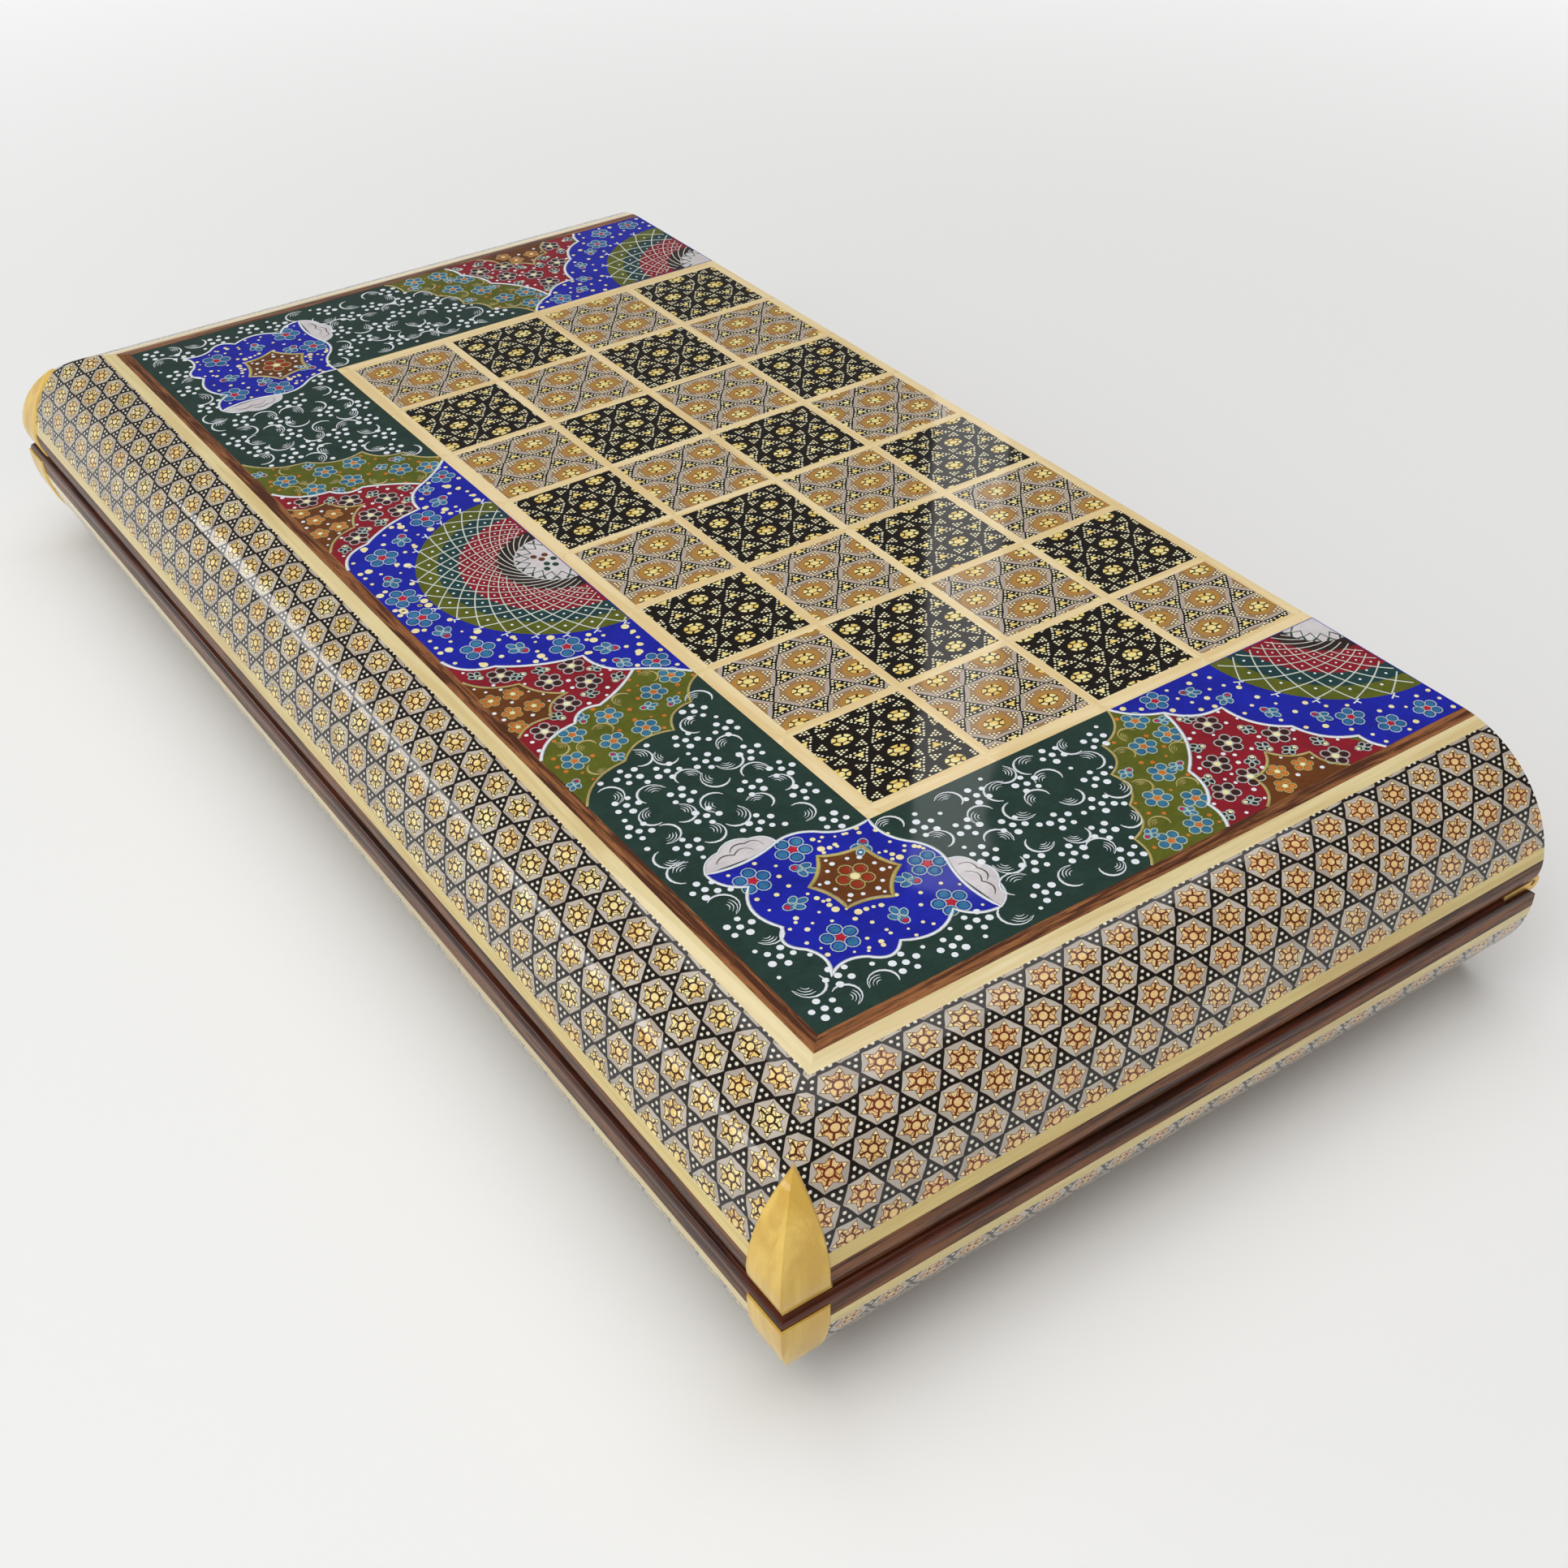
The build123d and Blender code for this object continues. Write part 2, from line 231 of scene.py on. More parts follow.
def build_lacquer():
    """The gentle waves of a lacquer laid on by brush, as a normal."""
    group, given, result = new_group("lacquer_waves", {"Depth": ("Float", None)}, {"Normal": "Vector"})
    waves = noise(add_node(group, "TexCoord").outputs["Object"], 42.0, 1.0)["Fac"]
    bump = add_node(group, "Bump", {"Height": waves, "Distance": given["Depth"], "Strength": 1.0})
    give(result, Normal=bump.outputs["Normal"])
    return group


lacquer_waves = build_lacquer()


def new_finish(name, roughness, coat):
    """A material with a Principled shader, under clear lacquer where it has a coat."""
    made = bpy.data.materials.new(name)
    made.use_nodes = True
    shader = made.node_tree.nodes["Principled BSDF"]
    shader.inputs["Roughness"].default_value = roughness
    shader.inputs["Coat Weight"].default_value = coat
    shader.inputs["Coat Roughness"].default_value = 0.045
    shader.inputs["Specular IOR Level"].default_value = 0.1
    if coat:
        waves = use_group(made.node_tree, lacquer_waves, {"Depth": lacquer_depth * mm})["Normal"]
        made.node_tree.links.new(waves, shader.inputs["Coat Normal"])
    return made, made.node_tree, shader


def build_wood_grain():
    """Growth bands, fine fibres and short pores along the X of the given place in millimetres."""
    group, given, result = new_group("wood_grain", {
        "Place": ("Vector", None), "Pale": ("Color", (0.6, 0.4, 0.2, 1)),
        "Dark": ("Color", (0.3, 0.15, 0.05, 1)), "Band Width": ("Float", 4.0),
        "Figure": ("Float", 0.5), "Pores": ("Float", 0.5),
    }, {"Color": "Color", "Height": "Float"})

    def drawn_out(along, across):
        return vector_calc("MULTIPLY", given["Place"], (along, across, across))
    band_scale = calc("DIVIDE", 1.0, given["Band Width"])
    bands = noise(drawn_out(0.055, 1.0), band_scale, 3.0, Roughness=0.55, Distortion=0.6)["Fac"]
    fibres = noise(drawn_out(0.06, 2.4), 1.0, 2.0)["Fac"]
    pores = noise(drawn_out(0.22, 3.4), 1.0, 1.0)["Fac"]
    pore_mask = calc("MULTIPLY", given["Pores"], inverse(step_down(pores, 0.63, 0.04)))
    figure = calc("MULTIPLY", ramp(bands, 0.36, 0.64), given["Figure"])
    tone = calc("ADD", figure, calc("MULTIPLY", fibres, 0.3))
    share = calc("ADD", tone, calc("MULTIPLY", pore_mask, 0.6))
    clamped = add_node(group, "Clamp", {"Value": share}).outputs["Result"]
    give(result, Color=blend_colours(clamped, given["Pale"], given["Dark"]),
         Height=calc("SUBTRACT", fibres, pore_mask))
    return group


wood_grain = build_wood_grain()


def build_object_place():
    """The object's own place in millimetres, turned so that X runs along the grain."""
    group, given, result = new_group("object_place", {"Along Y": ("Float", 0.0), "Upright": ("Float", 0.0)},
                                     {"Place": "Vector"})
    chosen = vector_calc("MULTIPLY", add_node(group, "TexCoord").outputs["Object"], (1000, 1000, 1000))
    parts = split(chosen)
    for order, choice in (("YXZ", "Along Y"), ("ZXY", "Upright")):
        chosen = blend_places(given[choice], chosen, combined(*(parts[axis] for axis in order)))
    give(result, Place=chosen)
    return group


object_place = build_object_place()


def relief(shader, height, depth):
    """A bump of a depth in millimetres under the lacquer."""
    bump = add_node(shader.id_data, "Bump", {"Height": height, "Distance": depth * mm, "Strength": 1.0})
    shader.id_data.links.new(bump.outputs["Normal"], shader.inputs["Normal"])


def wood_finish(name, place_group, pale, dark, band=4.0, figure=0.5, pores=0.5, coat=1.0, **place):
    """A lacquered wood with its grain along the way that the place group gives."""
    made, tree, shader = new_finish(name, 0.4, coat)
    grain = use_group(tree, wood_grain, {
        "Place": use_group(tree, place_group, place)["Place"], "Pale": paint_colour(*pale),
        "Dark": paint_colour(*dark), "Band Width": band, "Figure": figure, "Pores": pores,
    })
    tree.links.new(grain["Color"], shader.inputs["Base Color"])
    relief(shader, grain["Height"], wood_relief)
    return made


def dress(material, *nodes):
    """Gives CAD nodes of both trays a finish; their shapes stay as they are."""
    for half in ("upper", "lower"):
        for node in nodes:
            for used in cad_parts[f"{half}_{node}"].material_slots:
                used.material = material


along_y = {"Along Y": 1.0}
poplar = ((196, 158, 108), (148, 106, 62))
dress(wood_finish("poplar_carcass", object_place, *poplar, figure=0.45), "board", "rail_near", "rail_far")
dress(wood_finish("poplar_carcass_long", object_place, *poplar, figure=0.45, **along_y),
      "rail_long", "hinge_rail")

# The backgammon field
# A thin walnut veneered panel in each tray, with twelve points of micro mosaic let into it
# flush, six light and six dark, in two rows that face each other.
field = wood_finish("field_walnut", object_place, (134, 84, 48), (78, 42, 22), band=7.0, figure=0.7,
                    **along_y)
dress(field, "field_panel")

# Checker rails
# A strip of dark walnut along each end of a tray, with round notches cut side by side that
# keep the checkers in their columns. They are glued to the field.
rail_walnut = wood_finish("checker_rail_walnut", object_place, (96, 54, 30), (44, 22, 12), band=3.0,
                          figure=0.6)
dress(rail_walnut, "checker_rail_near", "checker_rail_far")

# The continuous hinge
# Two brass leaves let into the rims along the whole back, with rolled knuckles that take turns
# on one steel pin. Each leaf is held by countersunk screws.
metal_share = 0.85
tarnish_shade = 0.62


def brushed_metal(name, colour, roughness):
    """A metal with fine lines along the hinge and some tarnish."""
    made, tree, shader = new_finish(name, roughness, 0.0)
    shader.inputs["Metallic"].default_value = metal_share
    place = use_group(tree, object_place, along_y)["Place"]
    lines = noise(vector_calc("MULTIPLY", place, (0.03, 9.0, 9.0)), 1.0, 2.0)["Fac"]
    dull = inverse(step_down(noise(place, 0.07, 5.0)["Fac"], 0.58, 0.2))
    bright = paint_colour(*colour)
    dark = [share * tarnish_shade for share in bright[:3]] + [1]
    tree.links.new(blend_colours(dull, bright, dark), shader.inputs["Base Color"])
    tree.links.new(calc("MULTIPLY_ADD", lines, 0.2, roughness), shader.inputs["Roughness"])
    relief(shader, lines, 0.01)
    return made


dress(brushed_metal("hinge_brass", (228, 186, 108), 0.3), "hinge_leaf")
screw_brass = brushed_metal("screw_brass", (232, 196, 124), 0.16)
# A dark metal laid as painted shade in the screw slots and in the countersink round each head.
slot_shade = brushed_metal("slot_shade", (60, 44, 26), 0.5)
seam_height = 39.6
screw_count, screw_row, screw_pitch, first_screw = 9, 117.2, 58.0, -236.0
screw_radius, head_height, slot_width, slot_turn = 2.6, 0.05, 0.8, 0.7
shade_width, shade_rise = 0.35, 0.012
heads = []
for k in range(screw_count):
    place = (screw_row * mm, (first_screw + screw_pitch * k) * mm, seam_height * mm)
    bpy.ops.mesh.primitive_cylinder_add(vertices=24, radius=screw_radius * mm, depth=head_height * mm,
                                        location=place)
    head = bpy.context.object
    head.data.materials.append(screw_brass)
    bpy.ops.mesh.primitive_cube_add(size=1, location=place)
    slot = bpy.context.object
    slot.scale = (2.2 * screw_radius * mm, slot_width * mm, mm)
    slot.rotation_euler = (0, 0, slot_turn * k)
    cut = head.modifiers.new("slot", "BOOLEAN")
    cut.object = slot
    bpy.context.view_layer.objects.active = head
    bpy.ops.object.modifier_apply(modifier=cut.name)
    bpy.data.objects.remove(slot)
    # A dark disc just under the top of each head is painted shade: it shows in the cut slot and as a thin
    # ring round the head.
    bpy.ops.mesh.primitive_circle_add(vertices=24, radius=(screw_radius + shade_width) * mm, fill_type="NGON",
                                      location=(place[0], place[1], place[2] + shade_rise * mm))
    shade = bpy.context.object
    shade.data.materials.append(slot_shade)
    heads += [head, shade]
bpy.ops.object.select_all(action="DESELECT")
for part in heads:
    part.select_set(True)
bpy.context.view_layer.objects.active = heads[0]
bpy.ops.object.join()
bpy.ops.object.transform_apply(location=True, rotation=True, scale=True)
turn_over = Matrix.Translation((0, 0, 2 * seam_height * mm)) @ Matrix.Rotation(math.pi, 4, "X")


def other_half(piece):
    """A copy of a piece on the other tray, turned over about the seam."""
    copied = piece.copy()
    copied.data = piece.data.copy()
    copied.data.transform(turn_over)
    bpy.context.collection.objects.link(copied)
    return copied


lower_screws = bpy.context.object
for half, screws in (("lower", lower_screws), ("upper", other_half(lower_screws))):
    screws.name = f"{half}_hinge_screws"
    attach(screws, f"{half}_tray")
pin_steel = brushed_metal("pin_steel", (176, 176, 174), 0.2)
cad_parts["lower_hinge_pin"].material_slots[0].material = pin_steel

# Border mosaic
# Micro mosaic sheets bent over the quarter round on three sides and mitred at the corners:
# hexagons of bone round stars of brass and wood, and black triangles with three bone dots.
left_face, end_face = -126.875, 249.85
round_radius, round_rise = 35.2, 4.4
first_row, long_phase, near_phase, far_shift = 13.4, -159.07, -83.6, 4.3
star_pitch, star_squash = 11.9, 0.78
brass_shine = 0.12


def build_border_place():
    """The place on the border in millimetres: along its run, in from its face and up from the seam."""
    group, _, result = new_group("border_place", {}, {
        "Place": "Vector", "Along": "Float", "Inward": "Float", "Height": "Float", "End": "Float",
    })
    parts = split(use_group(group, object_place)["Place"])
    from_left = calc("SUBTRACT", parts["X"], left_face)
    from_end = calc("SUBTRACT", end_face, calc("ABSOLUTE", parts["Y"]))
    on_end = calc("LESS_THAN", from_end, from_left)
    on_far_end = calc("GREATER_THAN", parts["Y"], 0.0)
    along_end = calc("ADD", parts["X"], calc("MULTIPLY", on_far_end, far_shift))
    along = calc("ADD", calc("MULTIPLY", on_end, along_end), calc("MULTIPLY", inverse(on_end), parts["Y"]))
    inward = calc("MINIMUM", from_left, from_end)
    height = calc("ABSOLUTE", calc("SUBTRACT", parts["Z"], seam_height))
    apart = calc("ADD", height, calc("MULTIPLY", on_end, 77.0))
    give(result, Place=combined(along, inward, apart), Along=along, Inward=inward, Height=height, End=on_end)
    return group


border_place = build_border_place()


def star_cells(place, pitch, squash):
    """Finds the nearest star of the sheet: the place folded into a twelfth of it, where X is the way
    to a point of its hexagon and Y is sideways, and random numbers for the star and its sixth."""
    half, rise = 6.0, 6.0 * math.sqrt(3)
    cell = ((half, rise, 1), (-half, -rise, -1))
    unit = vector_calc("MULTIPLY", place, (12 / pitch, 12 / pitch / squash, 0))
    first = vector_calc("WRAP", unit, *cell)
    second = vector_calc("WRAP", vector_calc("SUBTRACT", unit, (half, rise, 0)), *cell)
    nearer = calc("LESS_THAN", vector_calc("LENGTH", first), vector_calc("LENGTH", second))
    offset = blend_places(nearer, second, first)
    parts = split(offset)
    away = vector_calc("LENGTH", offset)
    angle = calc("ARCTAN2", parts["Y"], parts["X"])
    fold = calc("PINGPONG", angle, math.pi / 6)
    fold_x = calc("MULTIPLY", away, calc("COSINE", fold))
    fold_y = calc("MULTIPLY", away, calc("SINE", fold))
    centre = vector_calc("SUBTRACT", unit, offset)
    star = vector_calc("FLOOR", vector_calc("MULTIPLY_ADD", centre, (1 / half, 1 / rise, 0), (0.5, 0.5, 0.5)))
    sixth = calc("FLOOR", calc("DIVIDE", angle, math.pi / 3))
    chances = [add_node(place.id_data, "TexWhiteNoise", sockets, noise_dimensions=kind).outputs["Value"]
               for sockets, kind in (({"Vector": star}, "3D"), ({"Vector": star, "W": sixth}, "4D"))]
    return fold_x, fold_y, away, *chances


def hand_laid(place, scale, reach):
    """A place moved a little to and fro, as pieces laid by hand are."""
    tremble = noise(place, scale, 2.0)["Color"]
    wobble = vector_calc("MULTIPLY_ADD", tremble, (2 * reach, 2 * reach, 0), (-reach, -reach, 0))
    return vector_calc("ADD", place, wobble)


def slanted(fold_x, fold_y, share_x, share_y):
    """The way out from a star's middle, measured at a slant."""
    return calc("ADD", calc("MULTIPLY", fold_x, share_x), calc("MULTIPLY", fold_y, share_y))


def all_of(*masks):
    """1 where every mask is 1."""
    joined = masks[0]
    for mask in masks[1:]:
        joined = calc("MULTIPLY", joined, mask)
    return joined


def any_of(*masks):
    """1 where at least one mask is 1."""
    joined = masks[0]
    for mask in masks[1:]:
        joined = calc("MAXIMUM", joined, mask)
    return joined


def dots_at(fold_x, fold_y, places, radius, softness):
    """Round dots at places of the folded star."""
    here = combined(fold_x, fold_y)
    return any_of(*(step_down(vector_calc("DISTANCE", here, (x, y, 0)), radius, softness) for x, y in places))


def build_border_mosaic():
    """The star sheet of the border for a place in millimetres along and across the run."""
    group, given, result = new_group("border_mosaic", {"Place": ("Vector", None), "Red": ("Float", 0.0)},
                                     {"Color": "Color", "Height": "Float", "Brass": "Float"})
    place = hand_laid(given["Place"], 0.16, 0.55)
    fold_x, fold_y, away, star_chance, piece_chance = star_cells(place, star_pitch, star_squash)
    hexagon = step_down(slanted(fold_x, fold_y, math.cos(math.pi / 6), math.sin(math.pi / 6)), 4.94, 0.06)
    slant = slanted(fold_x, fold_y, 0.503, 0.864)
    star = step_down(slant, 2.6, 0.05)
    inner_star = step_down(slant, 2.42, 0.05)
    crumbs = add_node(group, "TexVoronoi", {"Vector": place, "Scale": 0.62, "Randomness": 1.0},
                      feature="DISTANCE_TO_EDGE", voronoi_dimensions="2D").outputs["Distance"]
    heart = step_down(away, 1.15, 0.08)
    petals = all_of(inner_star, inverse(step_down(away, 1.7, 0.08)), inverse(step_down(crumbs, 0.05, 0.03)),
                    inverse(step_down(fold_y, 0.3, 0.06)), step_down(fold_x, 3.4, 0.06))
    tips = all_of(inner_star, inverse(step_down(fold_x, 3.72, 0.05)))
    beads = dots_at(fold_x, fold_y, [(6.0, 2.3)], 0.5, 0.1)
    mitre = all_of(step_down(fold_y, 0.1, 0.05), inverse(star))
    bone = blend_colours(piece_chance, (170, 158, 146), (198, 188, 174))
    bone = blend_colours(calc("MULTIPLY", mitre, 0.45), bone, (120, 104, 88))
    brass = blend_colours(piece_chance, (240, 204, 116), (255, 246, 182))
    brass = blend_colours(calc("MULTIPLY", star_chance, 0.35), brass, (244, 190, 112))
    brass = blend_colours(calc("MULTIPLY", given["Red"], 0.5), brass, (230, 180, 126))
    red_share = calc("MULTIPLY_ADD", given["Red"], 0.5, calc("MULTIPLY", star_chance, 0.5))
    colour = blend_colours(hexagon, (12, 8, 7), bone)
    colour = blend_colours(star, colour, blend_colours(red_share, (40, 18, 8), (120, 44, 20)))
    colour = blend_colours(any_of(petals, heart), colour, brass)
    colour = blend_colours(tips, colour, (250, 234, 172))
    colour = blend_colours(all_of(beads, inverse(hexagon)), colour, (232, 226, 210))
    stain = noise(given["Place"], 0.5, 3.0)["Fac"]
    give(result, Color=blend_colours(calc("MULTIPLY", stain, 0.14), colour, (92, 74, 52)),
         Height=any_of(petals, heart, tips, all_of(hexagon, inverse(star))), Brass=any_of(petals, heart))
    return group


def lay_sheet(shader, sheet, depth):
    """Leads a mosaic sheet's colour, brass and relief to a finish."""
    shader.id_data.links.new(sheet["Color"], shader.inputs["Base Color"])
    shader.id_data.links.new(calc("MULTIPLY", sheet["Brass"], brass_shine), shader.inputs["Metallic"])
    relief(shader, sheet["Height"], depth)


mosaic, mosaic_tree, mosaic_shader = new_finish("border_mosaic", 0.42, 0.8)
border = use_group(mosaic_tree, border_place)
bend = calc("ARCTAN2", calc("SUBTRACT", border["Height"], round_rise),
            calc("SUBTRACT", round_radius, border["Inward"]))
arc = calc("MULTIPLY", calc("SUBTRACT", math.pi / 2, bend), round_radius)
phase = calc("ADD", long_phase, calc("MULTIPLY", border["End"], near_phase - long_phase))
sheet_place = combined(calc("SUBTRACT", border["Along"], phase), calc("SUBTRACT", arc, first_row))
border_sheet = use_group(mosaic_tree, build_border_mosaic(), {"Place": sheet_place, "Red": border["End"]})
lay_sheet(mosaic_shader, border_sheet, 0.05)
dress(mosaic, "mosaic_long", "mosaic_near", "mosaic_far")

# Side strips and walnut bands
# Under the mosaic a pale boxwood strip closes its lower edge, and a walnut band runs down to
# the seam. Both are glued to the rails and mitred at the corners.
boxwood = wood_finish("side_boxwood", border_place, (226, 206, 134), (190, 158, 82), band=5.0, pores=0.15)
dress(boxwood, "side_strips")
walnut = wood_finish("band_walnut", border_place, (134, 82, 44), (56, 30, 15), band=2.2, figure=0.9,
                     pores=0.8, coat=0.2)
dress(walnut, "walnut_bands")

# The rim bead
# A rounded lip of dark stained walnut on the lower tray's rim, which covers the seam when the
# case is shut. It takes a long soft highlight from the lacquer.
bead_walnut = wood_finish("bead_walnut", border_place, (94, 44, 22), (32, 14, 8), band=2.0, figure=0.7,
                          coat=0.6)
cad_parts["lower_rim_bead"].material_slots[0].material = bead_walnut

# Corner leaves
# Solid pointed leaves of yellow boxwood over the mitres of the mosaic at the two left corners,
# carved with a sharp middle ridge and glued on.
leaf_wood = wood_finish("leaf_boxwood", object_place, (232, 198, 100), (200, 156, 68), band=6.0, figure=0.6,
                        pores=0.1, coat=0.6, Upright=1.0)
dress(leaf_wood, "corner_leaves")

# Edge strips
# A brown walnut strip and a pale boxwood strip, both mitred, frame the painted panel where the
# flat top starts to bend over.
edge_walnut = wood_finish("edge_walnut", border_place, (160, 104, 62), (78, 42, 24), band=1.3, figure=0.95,
                          pores=0.8)
dress(edge_walnut, "dark_edge_strips")
edge_boxwood = wood_finish("edge_boxwood", border_place, (230, 214, 166), (202, 176, 116), pores=0.2)
dress(edge_boxwood, "light_edge_strips")

# Chess squares
# Squares of micro mosaic, sawn from two sheets: on the dark ones brass rosettes and dotted
# triangles lie in black wood, on the light ones in orange and bone with bone bands between.
rosette_pitch, rosette_squash = 19.2, 0.75
square_pitch = 38.9
grid_left, grid_end = -31.075, -154.05
half_strip = 1.5


def build_square_mosaic():
    """The rosette sheet of the chess squares, dark or light, for a place in millimetres."""
    group, given, result = new_group("square_mosaic", {"Place": ("Vector", None), "Light": ("Float", 0.0)},
                                     {"Color": "Color", "Height": "Float", "Brass": "Float"})
    place = hand_laid(given["Place"], 0.13, 0.6)
    fold_x, fold_y, away, _, piece_chance = star_cells(place, rosette_pitch, rosette_squash)
    flat_way = slanted(fold_x, fold_y, math.cos(math.pi / 6), math.sin(math.pi / 6))
    hexagon = step_down(flat_way, 5.14, 0.05)
    band = all_of(hexagon, inverse(step_down(flat_way, 4.3, 0.06)))
    island = step_down(away, 3.1, 0.08)
    heart = step_down(away, 0.92, 0.05)
    petals = all_of(step_down(away, 1.98, 0.06), inverse(step_down(away, 1.16, 0.05)),
                    inverse(step_down(fold_y, 0.24, 0.04)))
    tip_places = ((5.05, 0), (4.4, 0.42), (3.72, 0.0), (3.72, 0.86))
    tip_dots = dots_at(fold_x, fold_y, tip_places, 0.26, 0.05)
    side_dots = dots_at(fold_x, fold_y, ((6.0, 0.95), (5.66, 1.62), (5.26, 2.36)), 0.24, 0.05)
    dots = any_of(tip_dots, side_dots)
    middle = any_of(dots_at(fold_x, fold_y, [(6.0, 3.46)], 0.56, 0.06),
                    dots_at(fold_x, fold_y, [(6.0, 2.7)], 0.3, 0.06))
    pinholes = dots_at(fold_x, fold_y, tip_places, 0.42, 0.05)
    dark_ring = all_of(given["Light"], step_down(away, 2.1, 0.06), inverse(heart))
    yellow = any_of(heart, petals, middle)
    brass = blend_colours(piece_chance, (244, 206, 104), (255, 244, 172))
    black = blend_colours(piece_chance, (15, 8, 4), (7, 6, 5))
    light_ground = blend_colours(piece_chance, (164, 130, 84), (150, 118, 84))
    light_ground = blend_colours(island, light_ground, (178, 130, 62))
    light_ground = blend_colours(band, light_ground, (182, 168, 158))
    light_ground = blend_colours(hexagon, black, light_ground)
    dark_ground = blend_colours(calc("MULTIPLY", hexagon, piece_chance), black, (24, 14, 7))
    colour = blend_colours(given["Light"], dark_ground, light_ground)
    colour = blend_colours(dark_ring, colour, (66, 30, 14))
    colour = blend_colours(all_of(pinholes, given["Light"], hexagon), colour, (104, 66, 40))
    colour = blend_colours(dots, colour, (255, 246, 204))
    give(result, Color=blend_colours(yellow, colour, brass), Height=any_of(yellow, dots), Brass=yellow)
    return group


square_mosaic = build_square_mosaic()


def square_finish(name, light):
    """One sheet's squares, each sawn from another place of the sheet."""
    made, tree, shader = new_finish(name, 0.4, 1.0)
    place = use_group(tree, object_place)["Place"]
    from_corner = vector_calc("SUBTRACT", place, (grid_left - half_strip, grid_end - half_strip, -500))
    step = vector_calc("FLOOR", vector_calc("DIVIDE", from_corner, (square_pitch, square_pitch, 1000)))
    under = calc("MULTIPLY", calc("LESS_THAN", split(place)["Z"], seam_height), 40.0)
    chance = add_node(tree, "TexWhiteNoise", {"Vector": step, "W": under}, noise_dimensions="4D")
    sheet_place = vector_calc("MULTIPLY_ADD", chance.outputs["Color"], (19.2, 24.0, 0), place)
    lay_sheet(shader, use_group(tree, square_mosaic, {"Place": sheet_place, "Light": light}), 0.04)
    return made


dress(square_finish("dark_square_mosaic", 0.0), "dark_squares", "dark_points")
dress(square_finish("light_square_mosaic", 1.0), "light_squares", "light_points")

# Grid strips
# Narrow boxwood strips between the squares and a wider frame strip round them, laid with the
# grain along each strip and butted at the crossings.
line_middle = 1.55


def build_grid_place():
    """The place on a grid strip in millimetres with X along the strip."""
    group, _, result = new_group("grid_place", {}, {"Place": "Vector"})
    place = use_group(group, object_place)["Place"]
    line = square_pitch / 2
    moved = vector_calc("SUBTRACT", place, (grid_left - line_middle, grid_end - line_middle, 0))
    wrapped = vector_calc("WRAP", moved, (line, line, 999), (-line, -line, -999))
    wrapped = split(vector_calc("ABSOLUTE", wrapped))
    lengthwise = calc("LESS_THAN", wrapped["X"], wrapped["Y"])
    parts = split(place)
    give(result, Place=blend_places(lengthwise, place, combined(parts["Y"], parts["X"], parts["Z"])))
    return group


grid_boxwood = wood_finish("grid_boxwood", build_grid_place(), (244, 224, 178), (222, 190, 128), band=5.0,
                           pores=0.2)
dress(grid_boxwood, "grid_strips")

# The painted panel
# A dark green lacquered ground round the squares, on which the ornament is painted by hand
# with fine brushes: flat colour fields first, then outlines, flowers and dots.


def build_brushwork():
    """A painted colour with its long soft brush marks and small flecks."""
    group, given, result = new_group("brushwork", {
        "Paint": ("Color", (0.1, 0.2, 0.3, 1)), "Deep": ("Color", (0.05, 0.1, 0.2, 1)),
        "Marks": ("Float", 0.5),
    }, {"Color": "Color", "Height": "Float"})
    place = use_group(group, object_place)["Place"]
    cloud = noise(place, 0.09, 4.0, Distortion=1.2)["Fac"]
    marks = noise(vector_calc("MULTIPLY", place, (0.5, 1.6, 1.0)), 1.0, 3.0, Distortion=0.4)["Fac"]
    both = calc("ADD", calc("MULTIPLY", cloud, 0.6), calc("MULTIPLY", marks, 0.4))
    share = calc("MULTIPLY", ramp(both, 0.35, 0.65, kind="LINEAR"), given["Marks"])
    give(result, Color=blend_colours(share, given["Paint"], given["Deep"]), Height=marks)
    return group


brushwork = build_brushwork()


def paint_finish(name, paint, deep, marks=0.6):
    """A painted colour under the lacquer."""
    made, tree, shader = new_finish(name, 0.45, 1.0)
    colours = {"Paint": paint_colour(*paint), "Deep": paint_colour(*deep)}
    brushed = use_group(tree, brushwork, {**colours, "Marks": marks})
    tree.links.new(brushed["Color"], shader.inputs["Base Color"])
    relief(shader, brushed["Height"], 0.02)
    return made


dress(paint_finish("ground_green", (38, 62, 54), (20, 38, 34)), "painted_panel")

panel_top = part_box("upper_painted_panel")[1].z / mm
panel_left, panel_right = -91.675, 124.825
panel_end = 214.65
frame_left, frame_end = -36.075, 159.05

# The palette
# Each colour is a thin raised coat of paint on the panel, and all of one colour on one tray is
# one piece. The lifts are the heights of the coats over the panel in millimetres.
field_lifts = {"olive": 0.008, "crimson": 0.012, "umber": 0.016, "blue": 0.02}
wash_lift = 0.024
spot_lift = 0.036
line_lift = 0.04
touch_lift = 0.044
palette = {}


class Paint:
    """One colour and all that is painted with it."""

    def __init__(self, name, colour, deep, marks=0.6):
        self.name = name
        self.finish = paint_finish("paint_" + name, colour, deep, marks)
        self.washes, self.strokes, self.dabs = [], [], []
        palette[name] = self

    def wash(self, outline, lift):
        """A flat field inside an outline."""
        self.washes.append((outline, lift))

    def stroke(self, points, width, lift, closed=False, tapered=False):
        """A line along points, thinner at both ends when it is tapered."""
        self.strokes.append((points, width, lift, closed, tapered))

    def dab(self, x, y, length, width=None, turn=0.0, lift=spot_lift):
        """A round or oval touch of the brush."""
        self.dabs.append((x, y, length / 2, (width or length) / 2, turn, lift))


